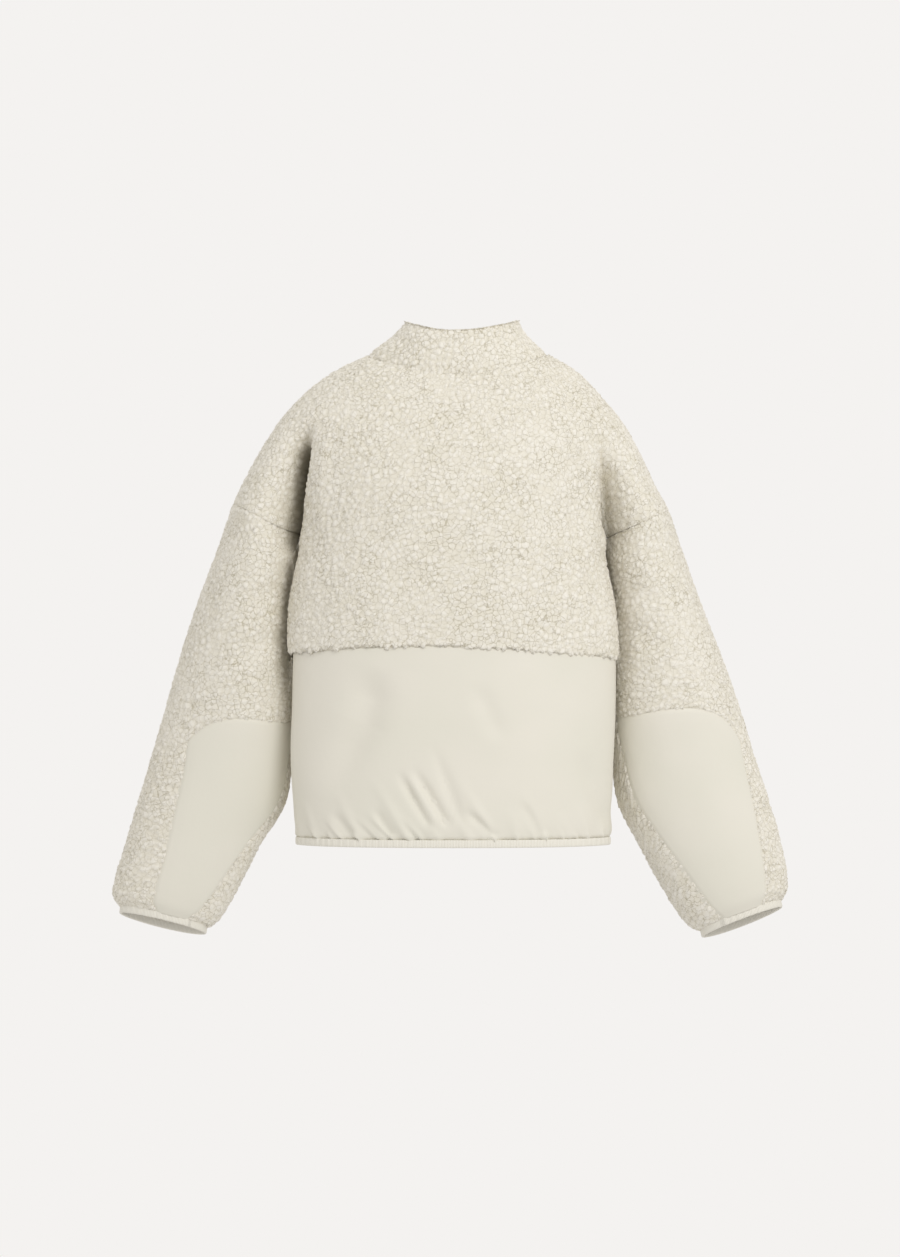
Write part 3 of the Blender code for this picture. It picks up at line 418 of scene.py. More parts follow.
    def torso_grid(self, side: Side, rows: int, split: np.ndarray) -> np.ndarray:
        """Rings from the underarm to the sherpa's lower edge, in place.

        Args:
            side: The wearer's side.
            rows: How many steps.
            split: The armhole seam's ring, whose body columns it goes on from.

        Returns:
            The grid of points.
        """
        rings = []
        for step in np.linspace(0.0, 1.0, rows + 1):
            x, y = self.torso_ring(TORSO, UNDERARM_Z + step * (YOKE_Z - UNDERARM_Z), side)
            z = UNDERARM_Z + step * (yoke_level(side.sign * x) - UNDERARM_Z)
            rings.append(np.column_stack([x, y, z]))
        grid = placed(rings, side)
        count, last = self.fine.body_count, self.fine.body_count + 2 * self.fine.underarm
        grid[0, :count + 1] = split[:count + 1]
        grid[0, last:] = split[count + 2 * self.fine.arm_count:]
        return grid

    def lower_grid(self, side: Side, rows: int) -> np.ndarray:
        """Rings of the nylon body from its top edge to the hem, gathers left out, in place."""
        rings = []
        for step in np.linspace(0.0, 1.0, rows + 1):
            level = LOWER_BODY["z"][0] + step * (HEM_Z - LOWER_BODY["z"][0])
            x, y = self.torso_ring(LOWER_BODY, level, side)
            top = yoke_level(side.sign * x) - SEAM_GAP
            rings.append(np.column_stack([x, y, top + step * (HEM_Z - top)]))
        return placed(rings, side)


def level_between(back_z: float, front_z: float, y: np.ndarray) -> np.ndarray:
    """Height of a tilted ring at a place between its back and its front."""
    return back_z + (front_z - back_z) * ease((y - LEVEL_FROM_Y) / LEVEL_RUN_Y)


def placed(rings: list[np.ndarray], side: Side) -> np.ndarray:
    """Stack a side's rings into a grid and give x its sign."""
    return np.array(rings) * np.array([side.sign, 1.0, 1.0])


@dataclass(frozen=True)
class SleeveShape:
    """A sleeve's surface, as the solids have it: ellipses along a bent line."""

    side: Side
    columns: int
    upper_rows: int
    lower_rows: int

    def place(self, column: np.ndarray) -> np.ndarray:
        """Turn column numbers into the solids' columns: 0 at the outer line, 11 underneath."""
        return -ARM_COLUMNS + column * (2 * ARM_COLUMNS + 2) / self.columns

    def patch_start(self, place: np.ndarray) -> np.ndarray:
        """Where along the sleeve the patch's top edge crosses a column."""
        edges = PATCH_EDGES[self.side.value]
        across = np.clip((-place - PATCH_FIRST) / (PATCH_LAST - PATCH_FIRST), 0.0, 1.0)
        base = edges["start_middle"] + (edges["start_inner"] - edges["start_middle"]) * across
        start = base + (edges["start_corner"] - edges["start_middle"]) * (1 - across) ** 4
        under = np.clip(place - ARM_COLUMNS - 1, 0.0, 1.0)
        return start + (edges["start_inner"] - edges["start_corner"]) * under

    def angle(self, t: np.ndarray, place: np.ndarray) -> np.ndarray:
        """Angle of a column round the sleeve, in radians; 0 at its outer line."""
        edges = PATCH_EDGES[self.side.value]
        along = ease((t - SPREAD_FROM) / SPREAD_RUN)
        lower = np.clip((t - PATCH_TURN_FROM) / (1.0 - PATCH_TURN_FROM), 0.0, 1.0)
        tip = math.degrees(math.asin(UNDERARM_HALF / ARM_HALF_DEPTH))
        outer = edges["outer_top"] + (edges["outer_cuff"] - edges["outer_top"]) * lower
        inner = edges["inner_top"] + (edges["inner_cuff"] - edges["inner_top"]) * lower
        size = np.minimum(np.abs(place), ARM_COLUMNS)
        seam = size * (180.0 - tip) / ARM_COLUMNS
        beyond = (size - PATCH_FIRST) / (PATCH_LAST - PATCH_FIRST)
        spread = np.where(size < PATCH_FIRST, outer * size / PATCH_FIRST, outer + (inner - outer) * beyond)
        back_last = (1 - along) * (180.0 - tip) + along * inner
        back = (1 - along) * seam + along * spread
        front = (1 - along) * seam + along * size * FRONT_SPREAD / ARM_COLUMNS
        under = place - ARM_COLUMNS
        first_half = front + (180.0 - front) * under
        second_half = 180.0 + (180.0 - back_last) * (under - 1.0)
        degrees = np.where(place <= 0, -back, front)
        degrees = np.where(place > ARM_COLUMNS, np.where(under < 1.0, first_half, second_half), degrees)
        return np.radians(degrees)

    def point(self, t: np.ndarray, angle: np.ndarray) -> np.ndarray:
        """Points of the outer face: middle plus half-width times cosine, depth times sine."""
        row = {name: read(SLEEVES[self.side.value], name, t, "t") for name in SLEEVE_NAMES}
        middle_x = (row["out_x"] + row["in_x"]) / 2
        middle_z = (row["out_z"] + row["in_z"]) / 2
        y = row["depth"] * np.sin(angle)
        drop = CUFF_DROP * ease((t - CUFF_DROP_FROM) / (1.0 - CUFF_DROP_FROM)) * y
        x = middle_x + (row["out_x"] - middle_x) * np.cos(angle)
        z = middle_z + (row["out_z"] - middle_z) * np.cos(angle) - drop
        return np.stack([self.side.sign * x, row["mid_y"] + y, z], axis=-1)

    def grid(self, seam: np.ndarray) -> np.ndarray:
        """The closed grid of points, from the armhole seam to the cuff.

        Args:
            seam: The armhole ring, which the first rows ease away from.

        Returns:
            Rows of points; the last column repeats the first.
        """
        place = self.place(np.arange(self.columns + 1.0))
        start = self.patch_start(place)
        start[-1] = start[0]
        upper = np.linspace(0.0, 1.0, self.upper_rows + 1)[:, None] * start
        lower = start + np.linspace(0.0, 1.0, self.lower_rows + 1)[1:, None] * (1.0 - start)
        t = np.vstack([upper, lower])
        points = self.point(t, self.angle(t, place[None, :]))
        away = 1.0 - ease(t * SLEEVE_UPPER_RINGS / start)
        points = points + away[..., None] * (seam - points[0])
        points[:, -1] = points[:, 0]
        return points


LATTICE_CORNER = np.array([-0.47, -0.17, -0.73])
LATTICE_SIZE = (0.94, 0.36, 0.86)
LATTICE_SPARE = 6


@lru_cache(maxsize=None)
def lattice(size: float, seed: int, width: int) -> np.ndarray:
    """Random numbers from 0 to 1 on a cubic grid that covers the jacket.

    Args:
        size: The grid's spacing.
        seed: Which random numbers.
        width: Numbers at each place.

    Returns:
        The numbers.
    """
    count = [int(math.ceil(length / size)) + LATTICE_SPARE for length in LATTICE_SIZE]
    return np.random.default_rng(seed).random((*count, width), dtype=np.float32)


def smooth_noise(points: np.ndarray, size: float, seed: int, width: int = 1) -> np.ndarray:
    """Soft random values: a lattice's numbers blended by cubes between its places."""
    table = lattice(size, seed, width)
    q = (points - LATTICE_CORNER) / size + 1.0
    base = np.floor(q).astype(int)
    u = ease(q - base)
    total = np.zeros((len(points), width))
    for corner in np.ndindex(2, 2, 2):
        weight = np.prod(np.where(np.array(corner) == 1, u, 1.0 - u), axis=1)
        place = base + np.array(corner)
        total += weight[:, None] * table[place[:, 0], place[:, 1], place[:, 2]]
    return total


def nearest_two(points: np.ndarray, size: float, seed: int) -> tuple[np.ndarray, np.ndarray]:
    """Distances to the nearest and second nearest of a jittered lattice's points, in cells."""
    table = lattice(size, seed, 3)
    q = (points - LATTICE_CORNER) / size + 1.0
    base = np.floor(q).astype(int)
    first = np.full(len(points), 9.0)
    second = np.full(len(points), 9.0)
    for offset in np.ndindex(3, 3, 3):
        place = base + np.array(offset) - 1
        dots = place + table[place[:, 0], place[:, 1], place[:, 2]]
        distance = np.sqrt(((dots - q) ** 2).sum(axis=1))
        second = np.minimum(second, np.maximum(first, distance))
        first = np.minimum(first, distance)
    return first, second


@dataclass(frozen=True)
class Pile:
    """Sherpa pile: packed curls with cracks between them, in real sizes."""

    curl: float = 0.0080
    nub: float = 0.0048
    depth: float = 0.0022
    wander: float = 0.0050
    wander_size: float = 0.015
    seed: int = 11
    crack_span: float = 0.42
    crack_power: float = 0.7
    nub_span: float = 0.5
    nub_share: float = 0.30
    worn_size: float = 0.030
    worn_share: float = 0.30

    def height(self, points: np.ndarray) -> np.ndarray:
        """0 in a crack and 1 on a curl: second nearest less nearest distance, eased.

        Args:
            points: Places on the cloth.

        Returns:
            One height a place.
        """
        moved = points + self.wander * (smooth_noise(points, self.wander_size, self.seed, 3) - 0.5)
        near, second = nearest_two(moved, self.curl, self.seed + 1)
        crack = ease((second - near) / self.crack_span) ** self.crack_power
        near, second = nearest_two(moved, self.nub, self.seed + 2)
        nub = ease((second - near) / self.nub_span)
        worn = ease(smooth_noise(points, self.worn_size, self.seed + 3)[:, 0] * 1.6 - 0.2)
        strength = 1.0 - self.worn_share + self.worn_share * worn
        return (1.0 - strength * (1.0 - crack)) * (1.0 - self.nub_share * (1.0 - nub))


@dataclass(frozen=True)
class Crease:
    """A soft trough in the cloth along places of x and z in metres; a negative depth is a ridge.

    Its inner half, towards the body's middle, may be narrower than its outer half, and it
    may go in along a set direction instead of the cloth's own.
    """

    path: tuple[tuple[float, float], ...]
    depth: float
    width: float
    inner_width: float | None = None
    into: tuple[float, float, float] | None = None
    ends: tuple[float, float] = (0.33, 0.33)
    back: bool = True

    def push(self, points: np.ndarray, normals: np.ndarray) -> np.ndarray:
        """Where the cloth goes: the depth, as a bell across and a hump along the path.

        Args:
            points: Places on the cloth.
            normals: The cloth's directions outward.

        Returns:
            One move a place.
        """
        flat = points[:, [0, 2]]
        path = np.array(self.path)
        steps = np.linalg.norm(np.diff(path, axis=0), axis=1)
        distance = np.full(len(points), np.inf)
        along = np.zeros(len(points))
        inner = np.zeros(len(points), bool)
        for number, (start, end) in enumerate(zip(path[:-1], path[1:])):
            line = end - start
            share = np.clip(((flat - start) @ line) / (line @ line), 0.0, 1.0)
            nearest = start + share[:, None] * line
            away = np.linalg.norm(flat - nearest, axis=1)
            closer = away < distance
            distance = np.where(closer, away, distance)
            along = np.where(closer, (steps[:number].sum() + share * steps[number]) / steps.sum(), along)
            inner = np.where(closer, np.abs(flat[:, 0]) < np.abs(nearest[:, 0]), inner)
        width = np.where(inner, self.inner_width or self.width, self.width)
        taper = ease(along / self.ends[0]) * ease((1.0 - along) / self.ends[1])
        forward = points[:, 1] / FACE_BLEND
        face = ease(0.5 - forward) if self.back else ease(0.5 + forward)
        amount = self.depth * taper * face * np.exp(-(distance / width) ** 2)
        toward = -normals if self.into is None else np.array(self.into)
        return amount[:, None] * toward


def seen(px: float, py: float) -> tuple[float, float]:
    """A place of the photograph as x and z on the jacket's back."""
    size = PIXEL * BACK_SCALE
    return (px - PHOTO_CENTRE[0]) * size, (PHOTO_CENTRE[1] - py) * size - BACK_DROP


def linear(colour: str) -> tuple[float, float, float, float]:
    """Turn an sRGB hex colour into linear numbers with alpha 1."""
    parts = [int(colour[place:place + 2], 16) / 255 for place in (1, 3, 5)]
    parts = [part / 12.92 if part <= 0.04045 else ((part + 0.055) / 1.055) ** 2.4 for part in parts]
    return (*parts, 1.0)


def set_inputs(tree: bpy.types.NodeTree, node: bpy.types.Node, inputs: dict) -> None:
    """Link sockets to a node's inputs, or give them plain values.

    Args:
        tree: The node's tree.
        node: The node.
        inputs: Values or sockets by input name or number.
    """
    for name, value in inputs.items():
        if isinstance(value, bpy.types.NodeSocket):
            tree.links.new(value, node.inputs[name])
        else:
            node.inputs[name].default_value = value


def add_node(tree: bpy.types.NodeTree, kind: str, inputs: dict | None = None, **settings) -> bpy.types.Node:
    """Add a node to a tree, set it and link it.

    Args:
        tree: The tree.
        kind: The node's type.
        inputs: Values or sockets by input name or number.
        settings: The node's own attributes.

    Returns:
        The node.
    """
    made = tree.nodes.new(kind)
    for name, value in settings.items():
        setattr(made, name, value)
    set_inputs(tree, made, inputs or {})
    return made


def new_material(name: str) -> tuple[bpy.types.Material, bpy.types.NodeTree, bpy.types.Node]:
    """Make a material with a bare principled shader.

    Args:
        name: The material's name.

    Returns:
        The material, its tree and its shader.
    """
    made = bpy.data.materials.new(name)
    made.use_nodes = True
    return made, made.node_tree, made.node_tree.nodes["Principled BSDF"]


def add_ramp(tree: bpy.types.NodeTree, factor: bpy.types.NodeSocket,
             stops: list[tuple[float, str]]) -> bpy.types.NodeSocket:
    """Add a colour ramp to a tree.

    Args:
        tree: The tree.
        factor: What picks the colour.
        stops: Place and colour of each stop.

    Returns:
        The picked colour.
    """
    ramp = add_node(tree, "ShaderNodeValToRGB", {"Fac": factor})
    elements = ramp.color_ramp.elements
    while len(elements) < len(stops):
        elements.new(0.5)
    for element, (place, colour) in zip(elements, stops):
        element.position = place
        element.color = linear(colour)
    return ramp.outputs["Color"]


# a wave texture of this scale repeats once a metre
WAVE_SCALE = 0.314


@dataclass(frozen=True)
class SherpaFleece:
    """Knitted polyester sherpa: matt cream curls parted by fine cracks; painted shade darkens the cracks, the
    pile's hollows and deep creases.
    """

    top: str = "#efebe1"
    # painted shade in the pile's low hollows
    hollow_shade: str = "#e6e1d3"
    # painted shade in the cracks between curls
    crack: str = "#aea58b"
    # painted shade for deep creases
    shaded: str = "#8b8471"
    curl: float = 0.0066
    small_curl: float = 0.0042
    wander: float = 0.0036
    fibre: float = 0.0011

    def cracks(self, tree: bpy.types.NodeTree, place: bpy.types.NodeSocket, size: float,
               width: float) -> bpy.types.NodeSocket:
        """Part the surface into cells of a size: 0 in a crack, 1 on a curl."""
        cells = add_node(tree, "ShaderNodeTexVoronoi", {"Vector": place, "Scale": 1.0 / size},
                         feature="DISTANCE_TO_EDGE")
        return add_node(tree, "ShaderNodeMapRange", {
            "Value": cells.outputs["Distance"], "From Min": 0.0, "From Max": width},
            interpolation_type="SMOOTHSTEP").outputs["Result"]

    def make(self) -> bpy.types.Material:
        """Build the material: bent cells for the cracks over the pile's own hollows, both darkened as painted
        shade, and painted shade in deep creases.
        """
        made, tree, shader = new_material("sherpa_fleece")
        place = add_node(tree, "ShaderNodeTexCoord").outputs["Object"]
        bend = add_node(tree, "ShaderNodeTexNoise", {"Vector": place, "Scale": 130.0, "Detail": 2.0})
        push = add_node(tree, "ShaderNodeVectorMath", {
            0: bend.outputs["Color"], 1: (2.0 * self.wander,) * 3, 2: place}, operation="MULTIPLY_ADD")
        curls = self.cracks(tree, push.outputs["Vector"], self.curl, 0.065)
        small = self.cracks(tree, push.outputs["Vector"], self.small_curl, 0.08)
        patchy = add_node(tree, "ShaderNodeTexNoise", {"Vector": place, "Scale": 26.0, "Detail": 2.0})
        strength = add_node(tree, "ShaderNodeMapRange", {
            "Value": patchy.outputs["Fac"], "From Min": 0.32, "From Max": 0.62,
            "To Min": 0.35, "To Max": 0.75})
        both = add_node(tree, "ShaderNodeMapRange", {"Value": small, "To Min": 0.78, "To Max": 1.0})
        joined = add_node(tree, "ShaderNodeMath", {0: curls, 1: both.outputs["Result"]}, operation="MULTIPLY")
        depth = add_node(tree, "ShaderNodeMath", {0: 1.0, 1: joined.outputs["Value"]}, operation="SUBTRACT")
        deep = add_node(tree, "ShaderNodeMath", {
            0: depth.outputs["Value"], 1: strength.outputs["Result"]}, operation="MULTIPLY")
        pile = add_node(tree, "ShaderNodeAttribute", attribute_name="pile")
        # painted shade: the pile's low hollows are coloured darker than its tops
        curled = add_ramp(tree, pile.outputs["Fac"], [(0.15, self.hollow_shade), (0.80, self.top)])
        # painted shade: the cracks between curls are mixed towards the darker crack colour
        colour = add_node(tree, "ShaderNodeMix", {
            "Factor": deep.outputs["Value"], "A": curled, "B": linear(self.crack)},
            data_type="RGBA")
        # painted shade: the crease-depth attribute darkens deep creases towards the shaded colour
        fold_shade = add_node(tree, "ShaderNodeAttribute", attribute_name="fold_shade")
        shade = add_node(tree, "ShaderNodeMapRange", {
            "Value": fold_shade.outputs["Fac"], "From Min": 0.25, "From Max": 1.0})
        shaded = add_node(tree, "ShaderNodeMix", {
            "Factor": shade.outputs["Result"], "A": colour.outputs["Result"], "B": linear(self.shaded)},
            data_type="RGBA")
        fibres = add_node(tree, "ShaderNodeTexNoise", {
            "Vector": place, "Scale": 1.0 / self.fibre, "Detail": 4.0, "Roughness": 0.65,
            "Distortion": 0.6})
        rough = add_node(tree, "ShaderNodeBump", {
            "Height": fibres.outputs["Fac"], "Strength": 0.30, "Distance": 0.0007})
        bump = add_node(tree, "ShaderNodeBump", {
            "Height": deep.outputs["Value"], "Normal": rough.outputs["Normal"], "Strength": 0.42,
            "Distance": 0.0010}, invert=True)
        set_inputs(tree, shader, {
            "Base Color": shaded.outputs["Result"], "Normal": bump.outputs["Normal"], "Roughness": 0.95,
            "Specular IOR Level": 0.12, "Sheen Weight": 0.15, "Sheen Roughness": 0.6,
            "Sheen Tint": linear("#fffaf0")})
        return made


@dataclass(frozen=True)
class KnitBacking:
    """The fleece's knitted back: flat cream loops, seen only inside."""

    colour: str = "#ddd6c6"
    lighter: str = "#e3ddce"
    loop: float = 0.0016

    def make(self) -> bpy.types.Material:
        """Build the material: small near-even cells for the loops, in low relief."""
        made, tree, shader = new_material("knit_backing")
        place = add_node(tree, "ShaderNodeTexCoord")
        loops = add_node(tree, "ShaderNodeTexVoronoi", {
            "Vector": place.outputs["Object"], "Scale": 1.0 / self.loop, "Randomness": 0.35})
        bump = add_node(tree, "ShaderNodeBump", {
            "Height": loops.outputs["Distance"], "Strength": 0.4, "Distance": 0.0004}, invert=True)
        shade = add_node(tree, "ShaderNodeTexNoise", {
            "Vector": place.outputs["Object"], "Scale": 30.0, "Detail": 2.0})
        colour = add_ramp(tree, shade.outputs["Fac"], [(0.3, self.colour), (0.7, self.lighter)])
        set_inputs(tree, shader, {
            "Base Color": colour, "Normal": bump.outputs["Normal"], "Roughness": 0.9,
            "Specular IOR Level": 0.2})
        return made


@dataclass(frozen=True)
class WovenNylon:
    """Plain woven nylon with a soft matt finish; its threads are drawn at 0.7 mm to show."""

    name: str = "woven_nylon"
    colour: str = "#e4e0d4"
    darker: str = "#e1ded1"
    thread: float = 0.0007

    def make(self) -> bpy.types.Material:
        """Build the material: two waves across each other for the weave, noise for slubs."""
        made, tree, shader = new_material(self.name)
        cloth = add_node(tree, "ShaderNodeAttribute", attribute_name="cloth")
        waves = []
        for axis in ("X", "Y"):
            wave = add_node(tree, "ShaderNodeTexWave", {
                "Vector": cloth.outputs["Vector"], "Scale": WAVE_SCALE / self.thread / 2,
                "Distortion": 0.4, "Detail": 1.0, "Detail Scale": 2.0}, bands_direction=axis)
            waves.append(wave.outputs["Fac"])
        weave = add_node(tree, "ShaderNodeMath", {0: waves[0], 1: waves[1]}, operation="ADD")
        place = add_node(tree, "ShaderNodeTexCoord")
        pucker = add_node(tree, "ShaderNodeTexNoise", {
            "Vector": place.outputs["Object"], "Scale": 60.0, "Detail": 3.0, "Roughness": 0.55})
        fine = add_node(tree, "ShaderNodeBump", {
            "Height": weave.outputs["Value"], "Strength": 0.12, "Distance": 0.00012})
        bump = add_node(tree, "ShaderNodeBump", {
            "Height": pucker.outputs["Fac"], "Strength": 0.18, "Distance": 0.0012,
            "Normal": fine.outputs["Normal"]})
        tone = add_node(tree, "ShaderNodeTexNoise", {
            "Vector": place.outputs["Object"], "Scale": 9.0, "Detail": 2.0})
        colour = add_ramp(tree, tone.outputs["Fac"], [(0.35, self.darker), (0.65, self.colour)])
        set_inputs(tree, shader, {
            "Base Color": colour, "Normal": bump.outputs["Normal"], "Roughness": 0.55,
            "Specular IOR Level": 0.35, "Sheen Weight": 0.12, "Sheen Roughness": 0.4})
        return made


@dataclass(frozen=True)
class RibbedElastic:
    """Knitted elastic binding: fine ribs across its length, dull and a little lighter."""

    name: str = "ribbed_elastic"
    colour: str = "#edeae0"
    # painted shade in the grooves between ribs
    groove_shade: str = "#ddd8ca"
    rib: float = 0.0018

    def make(self) -> bpy.types.Material:
        """Build the material: one wave along the band for relief, with painted shade darkening the grooves
        between ribs.
        """
        made, tree, shader = new_material(self.name)
        cloth = add_node(tree, "ShaderNodeAttribute", attribute_name="cloth")
        wave = add_node(tree, "ShaderNodeTexWave", {
            "Vector": cloth.outputs["Vector"], "Scale": WAVE_SCALE / self.rib,
            "Distortion": 0.8, "Detail": 2.0, "Detail Scale": 3.0}, bands_direction="X")
        # painted shade: the grooves between the ribs are coloured darker
        colour = add_ramp(tree, wave.outputs["Fac"], [(0.0, self.groove_shade), (0.45, self.colour)])
        bump = add_node(tree, "ShaderNodeBump", {
            "Height": wave.outputs["Fac"], "Strength": 0.5, "Distance": 0.0004})
        set_inputs(tree, shader, {
            "Base Color": colour, "Normal": bump.outputs["Normal"], "Roughness": 0.8,
            "Specular IOR Level": 0.2})
        return made


@dataclass(frozen=True)
class CastZinc:
    """Plated zinc zip slider: satin grey metal with faint tumbling marks."""

    colour: str = "#b9b4a8"
    dulled: str = "#aaa599"

    def make(self) -> bpy.types.Material:
        """Build the material: noise varies its roughness and dulls its colour a little."""
        made, tree, shader = new_material("plated_zinc")
        place = add_node(tree, "ShaderNodeTexCoord")
        marks = add_node(tree, "ShaderNodeTexNoise", {
            "Vector": place.outputs["Object"], "Scale": 900.0, "Detail": 4.0})
        rough = add_node(tree, "ShaderNodeMapRange", {
            "Value": marks.outputs["Fac"], "To Min": 0.26, "To Max": 0.44})
        colour = add_ramp(tree, marks.outputs["Fac"], [(0.3, self.dulled), (0.7, self.colour)])
        bump = add_node(tree, "ShaderNodeBump", {
            "Height": marks.outputs["Fac"], "Strength": 0.1, "Distance": 0.00005})
        set_inputs(tree, shader, {
            "Base Color": colour, "Roughness": rough.outputs["Result"],
            "Normal": bump.outputs["Normal"], "Metallic": 1.0})
        return made


class Wall:
    """A panel's closed wall: a fine outer face, a coarse inner one and a rim between."""

    STEP = 4

    def __init__(self, name: str, centre: np.ndarray | None = None) -> None:
        """Start an empty wall.

        Args:
            name: The piece's name.
            centre: A point that the outer face looks away from at every level; the level is
                taken from each point where this is left out.
        """
        self.name = name
        self.centre = centre
        self.points = np.zeros((0, 3))
        self.fields: dict[str, np.ndarray] = {}
        self.quads: list[np.ndarray] = []
        self.coarse_quads: list[np.ndarray] = []
        self.strips: list[tuple[np.ndarray, np.ndarray, bool]] = []

    def add(self, grid: np.ndarray, values: dict[str, np.ndarray], closed: bool = False,
            reuse: np.ndarray | None = None) -> np.ndarray:
        """Add a grid of points.

        Args:
            grid: Rows and columns of points.
            values: Numbers for each point, by name.
            closed: Whether the last column repeats the first.
            reuse: Numbers of points that are there already, and -1 elsewhere.

        Returns:
            The grid's point numbers.
        """
        rows, columns = grid.shape[:2]
        number = np.full((rows, columns), -1) if reuse is None else reuse.copy()
        fresh = number < 0
        if closed:
            fresh[:, -1] = False
        number[fresh] = len(self.points) + np.arange(int(fresh.sum()))
        if closed:
            number[:, -1] = number[:, 0]
        self.points = np.vstack([self.points, grid[fresh]])
        for name, value in values.items():
            old = self.fields.get(name, np.zeros(0))
            self.fields[name] = np.concatenate([old, value[fresh]])
        self.quads.append(self.corners(number))
        self.coarse_quads.append(self.corners(number[::self.STEP, ::self.STEP]))
        return number

    @staticmethod
    def corners(number: np.ndarray) -> np.ndarray:
        """The four corner numbers of each of a grid's faces."""
        return np.stack([number[:-1, :-1], number[:-1, 1:], number[1:, 1:], number[1:, :-1]],
                        axis=-1).reshape(-1, 4)

    def rim(self, line: np.ndarray, forward: bool) -> None:
        """Close the wall along a border.

        Args:
            line: The border's point numbers.
            forward: Whether the faces beside it run along it in its own direction.
        """
        self.strips.append((line, line[::self.STEP], forward))

    def rims(self, number: np.ndarray, top: bool = True, bottom: bool = True,
             sides: bool = True) -> None:
        """Close a grid's whole borders: top, bottom and both sides."""
        if top:
            self.rim(number[0], True)
        if bottom:
            self.rim(number[-1], False)
        if sides:
            self.rim(number[:, 0], False)
            self.rim(number[:, -1], True)

    def crease(self, creases: tuple["Crease", ...]) -> np.ndarray:
        """Move the wall's points by each crease in turn, and tell how deep each point lies."""
        start = self.points
        for crease in creases:
            self.points = self.points + crease.push(self.points, self.normals())
        return np.linalg.norm(self.points - start, axis=1)

    def normals(self) -> np.ndarray:
        """Unit normals of the outer face: the sum of its faces' crossed diagonals."""
        quads = np.concatenate(self.quads)
        face = np.cross(self.points[quads[:, 2]] - self.points[quads[:, 0]],
                        self.points[quads[:, 3]] - self.points[quads[:, 1]])
        total = np.zeros_like(self.points)
        for corner in range(4):
            for axis in range(3):
                total[:, axis] += np.bincount(quads[:, corner], face[:, axis], len(total))
        total /= np.maximum(np.linalg.norm(total, axis=1, keepdims=True), 1e-12)
        away = self.points - (self.points * [0, 0, 1] if self.centre is None else self.centre)
        self.flip = float((total * away).sum()) < 0.0
        return -total if self.flip else total

    def build(self, outer: np.ndarray, inner: np.ndarray, materials: list[bpy.types.Material],
              back: int = 0) -> bpy.types.Object:
        """Make the object.

        Args:
            outer: Where the outer face's points go.
            inner: Where the inner face's points go, for every outer point.
            materials: Materials of the outer face and, where they differ, of the inner one.
            back: Which material the inner face has.

        Returns:
            The object.
        """
        coarse = np.concatenate(self.coarse_quads)
        used = np.unique(coarse)
        partner = np.full(len(self.points), -1)
        partner[used] = len(self.points) + np.arange(len(used))
        outer_quads = np.concatenate(self.quads)
        inner_quads = partner[coarse][:, ::-1]
        triangles = np.concatenate([self.fan(*strip, partner) for strip in self.strips])
        if self.flip:
            outer_quads, inner_quads = outer_quads[:, ::-1], inner_quads[:, ::-1]
            triangles = triangles[:, ::-1]
        points = np.vstack([outer, inner[used]])
        quads = np.concatenate([outer_quads, inner_quads])
        made = make_object(self.name, points, quads, triangles)
        for material in materials:
            made.data.materials.append(material)
        slots = np.zeros(len(quads) + len(triangles), int)
        slots[len(outer_quads):len(quads)] = back
        made.data.polygons.foreach_set("material_index", slots)
        for name, value in self.fields.items():
            add_attribute(made.data, name, np.concatenate([value, value[used]]))
        return made

    def fan(self, dense: np.ndarray, coarse: np.ndarray, forward: bool,
            partner: np.ndarray) -> np.ndarray:
        """Triangles between a fine border and the coarse one behind it.

        Args:
            dense: The outer border's points.
            coarse: Every fourth of them.
            forward: Whether the faces beside the border run along it.
            partner: The inner point behind each coarse one.

        Returns:
            Three numbers a triangle.
        """
        half = self.STEP // 2
        begin, end = partner[coarse[:-1]], partner[coarse[1:]]
        parts = []
        for step in range(self.STEP):
            a = dense[step:-1:self.STEP]
            b = dense[step + 1::self.STEP]
            parts.append(np.stack([b, a, begin if step < half else end], axis=1))
        parts.append(np.stack([begin, end, dense[half::self.STEP]], axis=1))
        triangles = np.concatenate(parts)
        return triangles if forward else triangles[:, ::-1]


def make_object(name: str, points: np.ndarray, quads: np.ndarray, triangles: np.ndarray) -> bpy.types.Object:
    """Make a smooth mesh object of quads and triangles.

    Args:
        name: The piece's name.
        points: The vertices.
        quads: Four corner numbers each.
        triangles: Three corner numbers each.

    Returns:
        The object, linked to the scene.
    """
    mesh = bpy.data.meshes.new(name)
    mesh.vertices.add(len(points))
    mesh.vertices.foreach_set("co", np.ascontiguousarray(points, dtype=np.float32).ravel())
    corners = np.concatenate([np.ravel(quads), np.ravel(triangles)]).astype(np.int32)
    mesh.loops.add(len(corners))
    mesh.loops.foreach_set("vertex_index", corners)
    starts = np.concatenate([np.arange(len(quads)) * 4,
                             len(quads) * 4 + np.arange(len(triangles)) * 3]).astype(np.int32)
    mesh.polygons.add(len(starts))
    mesh.polygons.foreach_set("loop_start", starts)
    mesh.polygons.foreach_set("use_smooth", np.ones(len(starts), bool))
    mesh.update(calc_edges=True)
    mesh.validate()
    made = bpy.data.objects.new(name, mesh)
    bpy.context.scene.collection.objects.link(made)
    return made


def add_attribute(mesh: bpy.types.Mesh, name: str, values: np.ndarray) -> None:
    """Store one number or one vector a vertex under a name."""
    if values.ndim == 1:
        store = mesh.attributes.new(name, "FLOAT", "POINT")
        store.data.foreach_set("value", values.astype(np.float32))
    else:
        store = mesh.attributes.new(name, "FLOAT_VECTOR", "POINT")
        store.data.foreach_set("vector", values.astype(np.float32).ravel())


